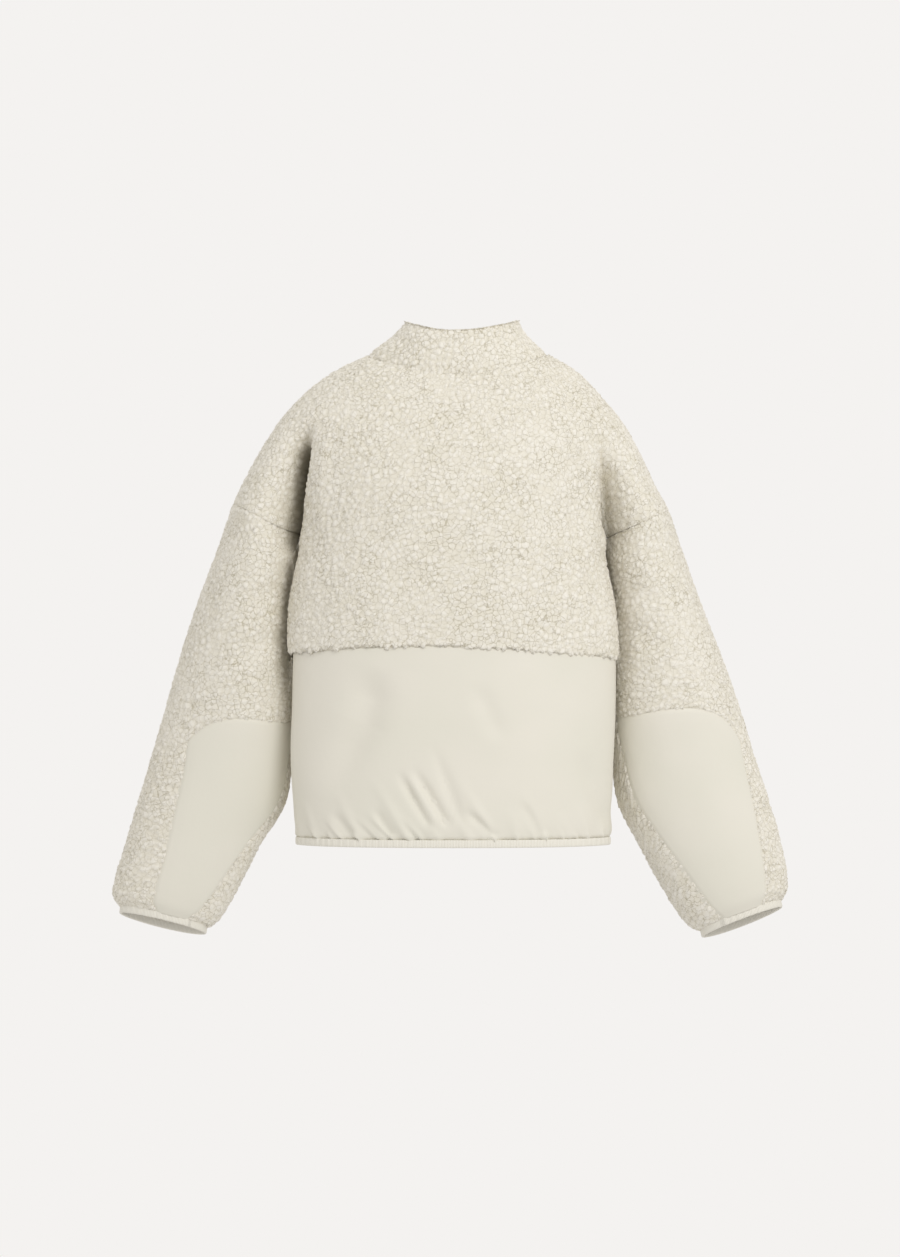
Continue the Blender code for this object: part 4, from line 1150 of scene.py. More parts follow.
def lengths(grid: np.ndarray, axis: int) -> np.ndarray:
    """Length along a grid's rows or columns from its first point to each one."""
    step = np.linalg.norm(np.diff(grid, axis=axis), axis=-1)
    total = np.cumsum(step, axis=axis)
    pad = [(0, 0), (0, 0)]
    pad[axis] = (1, 0)
    return np.pad(total, pad)


def joined(left: np.ndarray, right: np.ndarray, last: int) -> np.ndarray:
    """Both sides' grids in one, over the centre back, each as far as the last column given."""
    return np.concatenate([left[:, last:0:-1], right[:, :last + 1]], axis=1)


def middles(grid: np.ndarray, count: int) -> np.ndarray:
    """The middle of each of a grid's rows, repeated for every one of so many columns."""
    return np.repeat(grid.mean(axis=1)[:, None], count, axis=1).reshape(-1, 3)


@dataclass(frozen=True)
class EdgeShape:
    """How deep a seam's valley is, and how round a free edge."""

    seam_depth: float = 0.0022
    seam_width: float = 0.0034
    roll: float = 0.0040

    def drop(self, distance: np.ndarray, border: Border) -> np.ndarray:
        """How far the face sinks near a border: a bell at a seam, a quarter circle at an edge."""
        if border is Border.SEAM:
            return self.seam_depth * np.exp(-(distance / self.seam_width) ** 2)
        if border is Border.FREE:
            away = np.clip(1.0 - distance / self.roll, 0.0, 1.0)
            return self.roll * (1.0 - np.sqrt(1.0 - away ** 2))
        return np.zeros_like(distance)

    def drops(self, grid: np.ndarray, top: Border, bottom: Border, first: Border,
              last: Border) -> np.ndarray:
        """The sum of a grid's four borders' drops.

        Args:
            grid: Rows and columns of points.
            top: How the first row ends.
            bottom: How the last row ends.
            first: How the first column ends.
            last: How the last column ends.

        Returns:
            One drop a point.
        """
        down, across = lengths(grid, 0), lengths(grid, 1)
        return (self.drop(down, top) + self.drop(down[-1:] - down, bottom)
                + self.drop(across, first) + self.drop(across[:, -1:] - across, last))


EDGES = EdgeShape()


@dataclass
class Finishes:
    """Every material of the jacket, made once."""

    sherpa: bpy.types.Material = field(default_factory=lambda: SherpaFleece().make())
    backing: bpy.types.Material = field(default_factory=lambda: KnitBacking().make())
    nylon: bpy.types.Material = field(default_factory=lambda: WovenNylon().make())
    elastic: bpy.types.Material = field(default_factory=lambda: RibbedElastic().make())
    tape: bpy.types.Material = field(
        default_factory=lambda: WovenNylon("zip_tape_twill", "#dfd9cb", "#d6cfbf", 0.0009).make())
    teeth: bpy.types.Material = field(
        default_factory=lambda: WovenNylon("moulded_nylon_teeth", "#e9e5da", "#e2dccf", 0.004).make())
    metal: bpy.types.Material = field(default_factory=lambda: CastZinc().make())


@dataclass
class SherpaBody:
    """The upper back, both upper fronts and both sleeves' seams, all of one smooth form."""

    finishes: Finishes
    shape: BodyShape = field(default_factory=BodyShape)
    pile: Pile = field(default_factory=Pile)
    yoke_rows: int = 144
    torso_rows: int = 84
    seam_share: float = 0.35
    fringe: float = 0.0068
    fringe_reach: float = 0.004
    fringe_level: float = 0.40
    creases: tuple[Crease, ...] = ()

    def grids(self, side: Side) -> tuple[np.ndarray, np.ndarray]:
        """One side's yoke and torso grids."""
        yoke = self.shape.yoke_grid(side, self.yoke_rows)
        return yoke, self.shape.torso_grid(side, self.torso_rows, yoke[-1])

    def armhole(self, side: Side) -> np.ndarray:
        """The closed ring where a side's sleeve begins, as the sleeve's columns run."""
        yoke, torso = self.grids(side)
        count = self.shape.fine.body_count
        arm = yoke[-1, count:count + 2 * self.shape.fine.arm_count + 1]
        under = torso[0, count:count + 2 * self.shape.fine.underarm + 1][::-1]
        return np.vstack([arm, under[1:]])

    def back(self) -> bpy.types.Object:
        """The upper back, from the collar seam to the nylon, in one wall."""
        fine = self.shape.fine
        left, right = self.grids(Side.LEFT), self.grids(Side.RIGHT)
        yoke = joined(left[0], right[0], fine.body_count + fine.arm_count)
        torso = joined(left[1], right[1], fine.body_count + fine.underarm)
        return self.panel("upper_back_cloth", yoke, torso, (fine.arm_count, fine.arm_count),
                          (fine.underarm, fine.underarm), Border.SEAM)

    def front(self, side: Side) -> bpy.types.Object:
        """One upper front, from the shoulder's outer line to the zip."""
        fine = self.shape.fine
        yoke, torso = self.grids(side)
        return self.panel("upper_front_" + side.value + "_cloth", yoke[:, fine.body_count + fine.arm_count:],
                          torso[:, fine.body_count + fine.underarm:], (fine.arm_count, 0),
                          (fine.underarm, 0), Border.FREE)

    def panel(self, name: str, yoke: np.ndarray, torso: np.ndarray, arms: tuple[int, int],
              unders: tuple[int, int], last: Border) -> bpy.types.Object:
        """Make a panel of a yoke grid over a torso grid.

        Args:
            name: The piece's name.
            yoke: The grid over the armholes.
            torso: The grid under them.
            arms: Arm columns before and after the yoke's body columns.
            unders: Underarm columns before and after the torso's body columns.
            last: How the last column ends.

        Returns:
            The piece.
        """
        wall = Wall(name)
        columns = yoke.shape[1]
        body = slice(arms[0], columns - arms[1])
        yoke_drop = EDGES.drops(yoke, Border.OPEN, Border.OPEN, Border.OPEN, last)
        seam = self.seam_share * EDGES.drops(yoke, Border.OPEN, Border.SEAM, Border.OPEN, Border.OPEN)
        number = np.arange(columns)
        reach = np.maximum(arms[0] - number, number - (columns - 1 - arms[1]))
        yoke_drop += seam * ease(reach / SEAM_FADE + 1.0)[None, :] * (reach > -SEAM_FADE)[None, :]
        yoke_index = wall.add(yoke, {"drop": yoke_drop, "low": np.zeros(yoke.shape[:2])})
        reuse = np.full(torso.shape[:2], -1)
        torso_body = slice(unders[0], torso.shape[1] - unders[1])
        reuse[0, torso_body] = yoke_index[-1, body]
        torso_drop = EDGES.drops(torso, Border.OPEN, Border.FREE, Border.OPEN, last)
        down = lengths(torso, 0)
        low = np.exp(-((down[-1:] - down) / self.fringe_reach) ** 2)
        torso_index = wall.add(torso, {"drop": torso_drop, "low": low}, reuse=reuse)
        wall.rims(yoke_index, bottom=False)
        wall.rims(torso_index, top=False)
        if arms[0]:
            wall.rim(yoke_index[-1, :arms[0] + 1], False)
            wall.rim(torso_index[0, :unders[0] + 1], True)
        if arms[1]:
            wall.rim(yoke_index[-1, columns - 1 - arms[1]:], False)
            wall.rim(torso_index[0, torso.shape[1] - 1 - unders[1]:], True)
        return self.dress(wall)

    def dress(self, wall: Wall) -> bpy.types.Object:
        """Give a wall its pile and creases and make it."""
        height = self.pile.height(wall.points)
        deep = wall.crease(self.creases)
        normals = wall.normals()
        depth = self.pile.depth * (1.0 - height) + wall.fields["drop"]
        outer = wall.points - depth[:, None] * normals
        outer[:, 2] -= wall.fields["low"] * self.fringe * (height - self.fringe_level)
        inner = wall.points - SHERPA_WALL * normals
        # pile height and crease depth, kept for the material's painted shade in hollows and creases
        wall.fields = {"pile": height, "fold_shade": deep / DEEP_FOLD}
        return wall.build(outer, inner, [self.finishes.sherpa, self.finishes.backing], back=1)


@dataclass
class Collar:
    """The standing collar: pile outside and inside, rolled over at the top."""

    finishes: Finishes
    shape: BodyShape = field(default_factory=lambda: BodyShape(Fineness(7, 7, 2)))
    pile: Pile = field(default_factory=Pile)
    rows: int = 44
    roll_rows: int = 8
    tuck: float = 0.0034
    tuck_reach: float = 0.005
    seam_share: float = 0.25
    end_share: float = 0.4
    inner_share: float = 0.3
    creases: tuple[Crease, ...] = ()

    def build(self) -> bpy.types.Object:
        """Make the collar's two faces: out and up, round the top, and down inside."""
        rings = []
        for v in np.linspace(0.0, 1.0, self.rows + 1):
            left = self.shape.collar_ring(v, Side.LEFT) * [-1.0, 1.0, 1.0]
            right = self.shape.collar_ring(v, Side.RIGHT)
            rings.append(np.vstack([left[::-1], right[1:]]))
        grid = np.array(rings)
        shell = Wall("collar_form")
        shell.add(grid, {})
        normals = shell.normals().reshape(grid.shape)
        up = grid[-1] - grid[-2]
        up /= np.linalg.norm(up, axis=1, keepdims=True)
        half = SHERPA_WALL / 2
        turn = np.linspace(0.0, math.pi, self.roll_rows + 1)[1:-1]
        middle = grid[-1] - half * up - half * normals[-1]
        roll = [middle + half * (math.cos(angle) * normals[-1] + math.sin(angle) * up) for angle in turn]
        trim = np.clip(np.arange(self.rows + 1) - (self.rows - 2), 0, 2) * 0.5
        grid = grid - (trim * half)[:, None, None] * up[None]
        rows = np.concatenate([grid, np.array(roll), (grid - SHERPA_WALL * normals)[::-1]])
        across = lengths(grid, 1)
        down = lengths(grid, 0)
        drop = EDGES.drop(down, Border.SEAM) * self.seam_share
        drop += EDGES.drop(across, Border.FREE) * self.end_share
        drop += EDGES.drop(across[:, -1:] - across, Border.FREE) * self.end_share
        tuck = self.tuck * np.exp(-(down / self.tuck_reach) ** 2)
        rows[:len(grid), :, 2] -= tuck
        rows[len(rows) - len(grid):, :, 2] -= tuck[::-1]
        zero = np.zeros((len(turn), grid.shape[1]))
        wall = Wall("collar_cloth")
        index = wall.add(rows, {"drop": np.concatenate([drop, zero, drop[::-1] * self.inner_share])})
        wall.quads.append(np.stack([index[-1, :-1], index[-1, 1:], index[0, 1:], index[0, :-1]], axis=-1))
        wall.coarse_quads = []
        height = self.pile.height(wall.points)
        wall.crease(self.creases)
        out = wall.normals()
        if float((out[index[0]] * (rows[0] - rows[0] * [0, 0, 1])).sum()) < 0:
            out = -out
            wall.flip = not wall.flip
        outer = wall.points - (self.pile.depth * (1.0 - height) + wall.fields["drop"])[:, None] * out
        wall.fields = {"pile": height}
        quads = np.concatenate(wall.quads)
        quads = quads[:, ::-1] if wall.flip else quads
        ends = np.stack([index[:, 0], index[:, -1]])
        caps = np.concatenate([self.cap(ends[0], len(grid)), self.cap(ends[1], len(grid))[:, ::-1]])
        caps = caps if wall.flip else caps[:, ::-1]
        made = make_object(wall.name, outer, np.concatenate([quads, caps]), np.zeros((0, 3), int))
        made.data.materials.append(self.finishes.sherpa)
        # the pile height also sets the material's painted shade in the hollows
        add_attribute(made.data, "pile", height)
        return made

    @staticmethod
    def cap(line: np.ndarray, rows: int) -> np.ndarray:
        """Faces that close the collar's end between its outer and inner rows."""
        outer, inner = line[:rows], line[::-1][:rows]
        faces = np.stack([outer[:-1], outer[1:], inner[1:], inner[:-1]], axis=-1)
        roll = line[rows - 1:len(line) - rows + 1]
        half = len(roll) // 2
        a, b = roll[:half], roll[::-1][:half]
        return np.concatenate([faces, np.stack([a[:-1], a[1:], b[1:], b[:-1]], axis=-1)])


@dataclass
class Sleeve:
    """A sherpa sleeve with its bed for the forearm patch, and the patch."""

    finishes: Finishes
    side: Side
    armhole: np.ndarray
    pile: Pile = field(default_factory=lambda: Pile(seed=31))
    columns: int = 220
    upper_rows: int = 140
    lower_rows: int = 144
    seam_share: float = 0.45
    cuff_share: float = 0.8
    ragged_edge: float = 0.0042
    bed_start: float = 0.0006
    bed_run: float = 0.0030
    patch_wall: float = 0.0012
    patch_tuck: float = 0.0016
    patch_tuck_start: float = 0.001
    patch_tuck_reach: float = 0.0035
    patch_puff: float = 0.0006
    patch_puff_reach: float = 0.02
    patch_ripple: float = 0.0011
    creases: tuple[Crease, ...] = ()

    def surface(self) -> np.ndarray:
        """The sleeve's plain grid, its first ring fitted to the armhole."""
        shape = SleeveShape(self.side, self.columns, self.upper_rows, self.lower_rows)
        place = self.columns_on_ring()
        known = np.arange(len(self.armhole))
        seam = np.column_stack([np.interp(place, known, self.armhole[:, axis]) for axis in range(3)])
        return shape.grid(seam)

    def columns_on_ring(self) -> np.ndarray:
        """Where each of the sleeve's columns meets the armhole ring, as its point numbers."""
        fine = Fineness()
        arm, under = 2 * fine.arm_count, 2 * fine.underarm
        shape = SleeveShape(self.side, self.columns, 1, 1)
        place = shape.place(np.arange(self.columns + 1.0)) + ARM_COLUMNS
        return np.where(place <= 2 * ARM_COLUMNS, place * arm / (2 * ARM_COLUMNS),
                        arm + (place - 2 * ARM_COLUMNS) * under / 2)

    def patch_columns(self) -> tuple[int, int]:
        """The columns at the patch's inner and outer edges."""
        per_place = self.columns / (2 * ARM_COLUMNS + 2)
        return (int(round((ARM_COLUMNS - PATCH_LAST) * per_place)),
                int(round((ARM_COLUMNS - PATCH_FIRST) * per_place)))

    def patch_distance(self, grid: np.ndarray) -> np.ndarray:
        """How far inside the patch's edge each point lies; outside it is negative."""
        inner_edge, outer_edge = self.patch_columns()
        across, down = lengths(grid, 1), lengths(grid, 0)
        round_it = across[:, -1:]
        from_inner = across - across[:, inner_edge:inner_edge + 1]
        from_inner = np.where(from_inner > round_it / 2, from_inner - round_it, from_inner)
        from_outer = across[:, outer_edge:outer_edge + 1] - across
        from_top = down - down[self.upper_rows:self.upper_rows + 1]
        return np.minimum(np.minimum(from_inner, from_outer), from_top)

    def build(self) -> bpy.types.Object:
        """The sherpa sleeve: piled wall, sunk under the patch, drawn in at the cuff."""
        grid = self.surface()
        wall = Wall("sleeve_" + self.side.value + "_cloth", middles(grid[:, :-1], self.columns))
        down = lengths(grid, 0)
        drop = self.seam_share * EDGES.drop(down, Border.SEAM)
        drop = drop + self.cuff_share * EDGES.drop(down[-1:] - down, Border.FREE)
        inside = self.patch_distance(grid)
        index = wall.add(grid, {"drop": drop, "inside": inside}, closed=True)
        wall.rims(index, sides=False)
        height = self.pile.height(wall.points)
        deep = wall.crease(self.creases)
        normals = wall.normals()
        ragged = wall.fields["inside"] - self.ragged_edge * (height - 0.5)
        bed = ease((ragged + self.bed_start) / self.bed_run)
        depth = self.pile.depth * (1.0 - height) * (1.0 - bed) + wall.fields["drop"] + PATCH_RECESS * bed
        outer = wall.points - depth[:, None] * normals
        inner = wall.points - SHERPA_WALL * normals
        # pile height and crease depth, kept for the material's painted shade in hollows and creases
        wall.fields = {"pile": height, "fold_shade": deep / DEEP_FOLD}
        return wall.build(outer, inner, [self.finishes.sherpa, self.finishes.backing], back=1)

    def patch(self) -> bpy.types.Object:
        """The nylon patch: it follows the sleeve and tucks under the pile all round."""
        grid = self.surface()
        first, last = self.patch_columns()
        columns = np.arange(first - 2, last + 3)
        columns = np.concatenate([columns, columns[-1] + 1 + np.arange((-len(columns) + 1) % Wall.STEP)])
        rows = np.arange(self.upper_rows - 3, grid.shape[0])
        rows = rows[(len(rows) - 1) % Wall.STEP:]
        body = grid[:, :-1]
        part = body[rows][:, columns % self.columns]
        shell = Wall("sleeve_form", middles(body, self.columns))
        shell.add(grid, {}, closed=True)
        normals = shell.normals().reshape(body.shape)[rows][:, columns % self.columns].reshape(-1, 3)
        inside = self.patch_distance(grid)[rows][:, columns % self.columns]
        cloth = np.stack([lengths(part, 1), lengths(part, 0), np.zeros(part.shape[:2])], axis=-1)
        wall = Wall("forearm_patch_" + self.side.value + "_cloth", middles(body[rows], part.shape[1]))
        index = wall.add(part, {"inside": inside})
        wall.rims(index)
        own = wall.normals()
        if float((own * normals).sum()) < 0:
            wall.flip = not wall.flip
        inside = wall.fields["inside"]
        beyond = np.maximum(inside + self.patch_tuck_start, 0.0)
        tuck = self.patch_tuck * np.exp(-(beyond / self.patch_tuck_reach) ** 2)
        puff = self.patch_puff * ease(inside / self.patch_puff_reach)
        ripple = self.patch_ripple * (smooth_noise(wall.points * [1.0, 1.0, 0.55], 0.030, 51)[:, 0] - 0.5)
        depth = PATCH_TOP_DEPTH + tuck - puff + ripple
        outer = wall.points - depth[:, None] * normals
        inner = outer - self.patch_wall * normals
        wall.fields = {"cloth": cloth.reshape(-1, 3)}
        return wall.build(outer, inner, [self.finishes.nylon])


def hem_puckers(seed: int) -> np.ndarray:
    """Short uneven puckers along the hem: their place, height, depth and lean."""
    random = np.random.default_rng(seed)
    count = PUCKERS_A_SIDE
    place = (np.arange(count) + 0.5 + 0.7 * (random.random(count) - 0.5)) / count
    height = 0.010 + 0.026 * random.random(count) ** 1.6
    depth = 0.0012 + 0.0020 * random.random(count)
    lean = 0.35 + 0.55 * random.random(count)
    return named_rows(("place", "height", "depth", "lean"), list(zip(place, height, depth, lean)))


PUCKERS = {Side.LEFT: hem_puckers(5), Side.RIGHT: hem_puckers(8)}


def gather_depth(place: np.ndarray, height: np.ndarray, length: float, side: Side) -> np.ndarray:
    """How far the hem's gathers push the cloth out: a bell across each, fading upward.

    Args:
        place: Share of the way round the hem from the centre back.
        height: Height over the hem.
        length: Half the hem's length.
        side: The wearer's side.

    Returns:
        One push a place.
    """
    total = np.zeros_like(place)
    toward = 1.0 if side is Side.LEFT else -1.0
    for row in GATHERS:
        centre = row["place"] * length + toward * row["lean"] * height
        across = (place * length - centre) / GATHER_HALF_WIDTH
        fade = np.clip(1.0 - height / row["height"], 0.0, 1.0)
        total += row["depth"] * fade * np.exp(-across ** 2)
    for row in PUCKERS[side]:
        centre = row["place"] * length + toward * row["lean"] * height
        across = (place * length - centre) / (PUCKER_WIDTH * (1.0 + height / PUCKER_SPREAD))
        fade = np.clip(1.0 - height / row["height"], 0.0, 1.0) ** 1.3
        total += row["depth"] * fade * (np.exp(-across ** 2) - 0.8 * np.exp(-(across - 1.5) ** 2))
    return total


@dataclass
class NylonBody:
    """The lower back and both lower fronts, gathered into the hem."""

    finishes: Finishes
    shape: BodyShape = field(default_factory=lambda: BodyShape(Fineness(12, 8, 8)))
    rows: int = 116
    tuck_rows: int = 4
    tuck_step: float = 0.0016
    tuck_depth: float = 0.0010
    tuck_slope: float = 0.0004
    hem_turn: float = 0.0030
    hem_turn_reach: float = 0.0028
    seam_share: float = 0.45
    softness: float = 0.0016
    creases: tuple[Crease, ...] = ()

    def grid(self, side: Side) -> tuple[np.ndarray, np.ndarray]:
        """One side's rings with their gathers, and each point's length along its ring.

        Args:
            side: The wearer's side.

        Returns:
            The grid and the lengths.
        """
        plain = self.shape.lower_grid(side, self.rows)
        along = lengths(plain, 1)
        total = along[:, -1:]
        width = read(LOWER_BODY, side.value, np.linspace(LOWER_BODY["z"][0], HEM_Z, self.rows + 1), "z")
        outward = np.stack([plain[..., 0] / width[:, None] ** 2, plain[..., 1] / BODY_HALF_DEPTH ** 2,
                            np.zeros(plain.shape[:2])], axis=-1)
        outward /= np.linalg.norm(outward, axis=-1, keepdims=True)
        wave = gather_depth(along / total, plain[..., 2] - HEM_Z, total, side)
        wave = wave * ease(along / GATHER_END_FADE) * ease((total - along) / GATHER_END_FADE)
        shaped = plain + outward * wave[..., None]
        tuck = [shaped[0] + [0.0, 0.0, step * self.tuck_step]
                - outward[0] * (self.tuck_depth + self.tuck_slope * step)
                for step in range(self.tuck_rows, 0, -1)]
        grid = np.concatenate([np.array(tuck), shaped])
        return grid, np.concatenate([np.repeat(along[:1], self.tuck_rows, axis=0), along])

    def back(self) -> bpy.types.Object:
        """The lower back, side seam to side seam."""
        under = self.shape.fine.body_count + self.shape.fine.underarm
        left, left_along = self.grid(Side.LEFT)
        right, right_along = self.grid(Side.RIGHT)
        along = joined(-left_along, right_along, under)
        return self.panel("lower_back_cloth", joined(left, right, under), along, Border.SEAM, Border.SEAM)

    def front(self, side: Side) -> bpy.types.Object:
        """One lower front, side seam to zip."""
        under = self.shape.fine.body_count + self.shape.fine.underarm
        grid, along = self.grid(side)
        return self.panel("lower_front_" + side.value + "_cloth", grid[:, under:], along[:, under:],
                          Border.SEAM, Border.OPEN)

    def panel(self, name: str, grid: np.ndarray, along: np.ndarray, first: Border,
              last: Border) -> bpy.types.Object:
        """Crease a grid of cloth and make its thin wall.

        Args:
            name: The piece's name.
            grid: Rows and columns of points.
            along: Each point's length round the body.
            first: How the first column ends.
            last: How the last column ends.

        Returns:
            The piece.
        """
        wall = Wall(name)
        drop = self.seam_share * EDGES.drops(grid, Border.OPEN, Border.OPEN, first, last)
        down = lengths(grid, 0)
        index = wall.add(grid, {"drop": drop, "up": down[-1:] - down})
        wall.rims(index)
        wall.crease(self.creases)
        normals = wall.normals()
        depth = wall.fields["drop"] + self.hem_turn * np.exp(-(wall.fields["up"] / self.hem_turn_reach) ** 2)
        depth = depth + self.softness * (smooth_noise(wall.points * [1.0, 1.0, 0.7], 0.045, 71)[:, 0] - 0.5)
        outer = wall.points - depth[:, None] * normals
        inner = outer - NYLON_WALL * normals
        cloth = np.stack([along, down, np.zeros(along.shape)], axis=-1)
        wall.fields = {"cloth": cloth.reshape(-1, 3)}
        return wall.build(outer, inner, [self.finishes.nylon])


@dataclass
class Binding:
    """A band of elastic swept along a path: a soft rounded rectangle."""

    name: str
    path: np.ndarray
    down: np.ndarray
    out: np.ndarray
    height: float
    closed: bool
    material: bpy.types.Material
    ruck: float = 0.0003
    ruck_length: float = 0.0085
    section: tuple[tuple[float, float], ...] = (
        (0.30, -0.04), (0.44, 0.06), (0.50, 0.25), (0.50, 0.75), (0.42, 0.94), (0.20, 1.02),
        (-0.20, 1.02), (-0.42, 0.94), (-0.50, 0.75), (-0.50, 0.25), (-0.44, 0.06), (-0.30, -0.04))

    def build(self) -> bpy.types.Object:
        """Carry the section along the path; small even rucks swell it where it is stretched."""
        along = lengths(self.path[:, None], 0)[:, 0]
        ruck = self.ruck * np.sin(2 * math.pi * along / self.ruck_length)
        rows = []
        for across, level in self.section:
            wide = across * BINDING_WALL + np.sign(across) * ruck
            rows.append(self.path + self.out * wide[:, None] + self.down * level * self.height)
        grid = np.array(rows + rows[:1])
        count = len(self.path)
        sides = len(self.section)
        number = np.arange(sides * count).reshape(sides, count)
        number = np.vstack([number, number[:1]])
        if self.closed:
            number[:, -1] = number[:, 0]
        quads = Wall.corners(number)
        points = grid[:-1].reshape(-1, 3)
        caps = np.zeros((0, 3), int) if self.closed else end_caps(number[:-1, 0], number[:-1, -1])
        made = make_object(self.name, points, quads, caps)
        turn_outward(made)
        made.data.materials.append(self.material)
        level = np.repeat(np.array([row[1] for row in self.section])[:, None] * self.height, count, axis=1)
        cloth = np.stack([np.repeat(along[None], sides, axis=0), level, np.zeros((sides, count))], axis=-1)
        add_attribute(made.data, "cloth", cloth.reshape(-1, 3))
        return made


def end_caps(first: np.ndarray, last: np.ndarray) -> np.ndarray:
    """Triangles that close a tube's first and last rings of points, each as a fan."""
    start = [(first[0], first[i + 1], first[i]) for i in range(1, len(first) - 1)]
    return np.array(start + [(last[0], last[i], last[i + 1]) for i in range(1, len(last) - 1)])


def turn_outward(made: bpy.types.Object) -> None:
    """Reverse a closed mesh's faces if its volume comes out negative."""
    mesh = made.data
    mesh.calc_loop_triangles()
    corners = np.zeros(len(mesh.loop_triangles) * 3, np.int32)
    mesh.loop_triangles.foreach_get("vertices", corners)
    points = np.zeros(len(mesh.vertices) * 3)
    mesh.vertices.foreach_get("co", points)
    a, b, c = points.reshape(-1, 3)[corners.reshape(-1, 3)].transpose(1, 0, 2)
    if float((a * np.cross(b, c)).sum()) < 0.0:
        mesh.flip_normals()


@dataclass
class Zip:
    """Tapes and moulded teeth down the front; the slider and its tab are the frame's own."""

    finishes: Finishes
    pitch: float = 0.0026
    tape_step: float = 0.004
    slider_room: float = 0.0005
    tooth: tuple[float, float, float] = (0.0042, 0.0017, 0.0014)
    tooth_profile: tuple[tuple[float, float, float], ...] = (
        (0.0, 0.5, 1.25), (0.55, 0.5, 0.9), (0.72, 0.34, 0.8), (0.94, 0.5, 0.85), (1.0, 0.34, 0.7))

    @staticmethod
    def front_line() -> tuple[np.ndarray, np.ndarray]:
        """The front opening's line from the hem up, and its outward direction, in y and z."""
        shape = BodyShape(Fineness(1, 1, 1))
        lower = shape.lower_grid(Side.RIGHT, 6)[:, -1, 1:]
        yoke = shape.yoke_grid(Side.RIGHT, 11)
        torso = shape.torso_grid(Side.RIGHT, 4, yoke[-1])[:, -1, 1:]
        collar = np.array([shape.collar_ring(v, Side.RIGHT)[-1, 1:] for v in np.linspace(0.0, 1.0, 5)])
        foot = [lower[-1, 0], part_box("hem_binding")[0][2]]
        line = np.vstack([foot, lower[::-1], torso[::-1][1:-1], yoke[::-1, -1, 1:], collar[1:]])
        along = np.gradient(line, axis=0)
        along /= np.linalg.norm(along, axis=1, keepdims=True)
        return line, np.column_stack([along[:, 1], -along[:, 0]])

    def even_line(self, spacing: float) -> tuple[np.ndarray, np.ndarray]:
        """The front line at even steps."""
        line, out = self.front_line()
        along = lengths(line[:, None], 0)[:, 0]
        steps = np.linspace(0.0, along[-1], int(along[-1] / spacing))
        even = np.column_stack([np.interp(steps, along, line[:, axis]) for axis in range(2)])
        facing = np.column_stack([np.interp(steps, along, out[:, axis]) for axis in range(2)])
        return even, facing / np.linalg.norm(facing, axis=1, keepdims=True)

    def tape(self, side: Side) -> bpy.types.Object:
        """One woven tape: a thin rectangle with a cord along its inner edge."""
        line, out = self.even_line(self.tape_step)
        cord = ((0.0, 0.0), (0.0004, -0.0002), (0.0012, -0.0002), (0.0018, 0.0))
        section = [(TAPE_INNER_X + x, depth) for x, depth in cord]
        section += [(TAPE_OUTER_X, 0.0), (TAPE_OUTER_X, TAPE_WALL), (TAPE_INNER_X, TAPE_WALL)]
        rows = []
        for x, depth in section:
            face = line - out * (TAPE_DEPTH + depth)
            rows.append(np.column_stack([np.full(len(face), side.sign * x), face]))
        count, sides = len(line), len(section)
        number = np.arange(sides * count).reshape(sides, count)
        quads = Wall.corners(np.vstack([number, number[:1]]))
        caps = end_caps(number[:, 0], number[:, -1])
        made = make_object("zip_tape_" + side.value + "_cloth", np.array(rows).reshape(-1, 3), quads, caps)
        turn_outward(made)
        made.data.materials.append(self.finishes.tape)
        cloth = np.stack([np.repeat(np.array([row[0] for row in section])[:, None], count, axis=1),
                          np.repeat((np.arange(count) * self.tape_step)[None], sides, axis=0),
                          np.zeros((sides, count))], axis=-1)
        add_attribute(made.data, "cloth", cloth.reshape(-1, 3))
        return made

    def teeth(self, side: Side) -> bpy.types.Object:
        """One side's row of teeth: small tapered blocks at an even pitch, clear of the slider."""
        line, out = self.even_line(self.pitch)
        shift = 0 if side is Side.LEFT else 1
        keep = np.arange(shift, len(line) - 4, 2)
        low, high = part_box("zip_slider")
        middle = line[keep] - out[keep] * (TAPE_DEPTH + TAPE_WALL / 2)
        clear = (middle[:, 1] > high[2] + self.slider_room) | (middle[:, 1] < low[2] - self.slider_room)
        keep, middle = keep[clear], middle[clear]
        along = np.column_stack([-out[keep][:, 1], out[keep][:, 0]])
        width, height, depth = self.tooth
        corners = []
        for share, tall, thick in self.tooth_profile:
            x = TAPE_INNER_X + 0.0010 - width * share
            for up, face in ((-1, -1), (1, -1), (1, 1), (-1, 1)):
                place = middle + along * (up * tall * height) + out[keep] * (face * thick * depth / 2)
                corners.append(np.column_stack([np.full(len(keep), side.sign * x), place]))
        points = np.stack(corners, axis=1).reshape(-1, 3)
        rings = len(self.tooth_profile)
        faces = [(r * 4 + i, r * 4 + (i + 1) % 4, r * 4 + 4 + (i + 1) % 4, r * 4 + 4 + i)
                 for r in range(rings - 1) for i in range(4)]
        faces += [(3, 2, 1, 0), tuple(4 * rings - 4 + i for i in range(4))]
        quads = (np.array(faces)[None] + (np.arange(len(keep)) * 4 * rings)[:, None, None]).reshape(-1, 4)
        made = make_object("zip_teeth_" + side.value, points, quads, np.zeros((0, 3), int))
        turn_outward(made)
        made.data.materials.append(self.finishes.teeth)
        made.data.polygons.foreach_set("use_smooth", np.zeros(len(made.data.polygons), bool))
        add_attribute(made.data, "cloth", points)
        return made


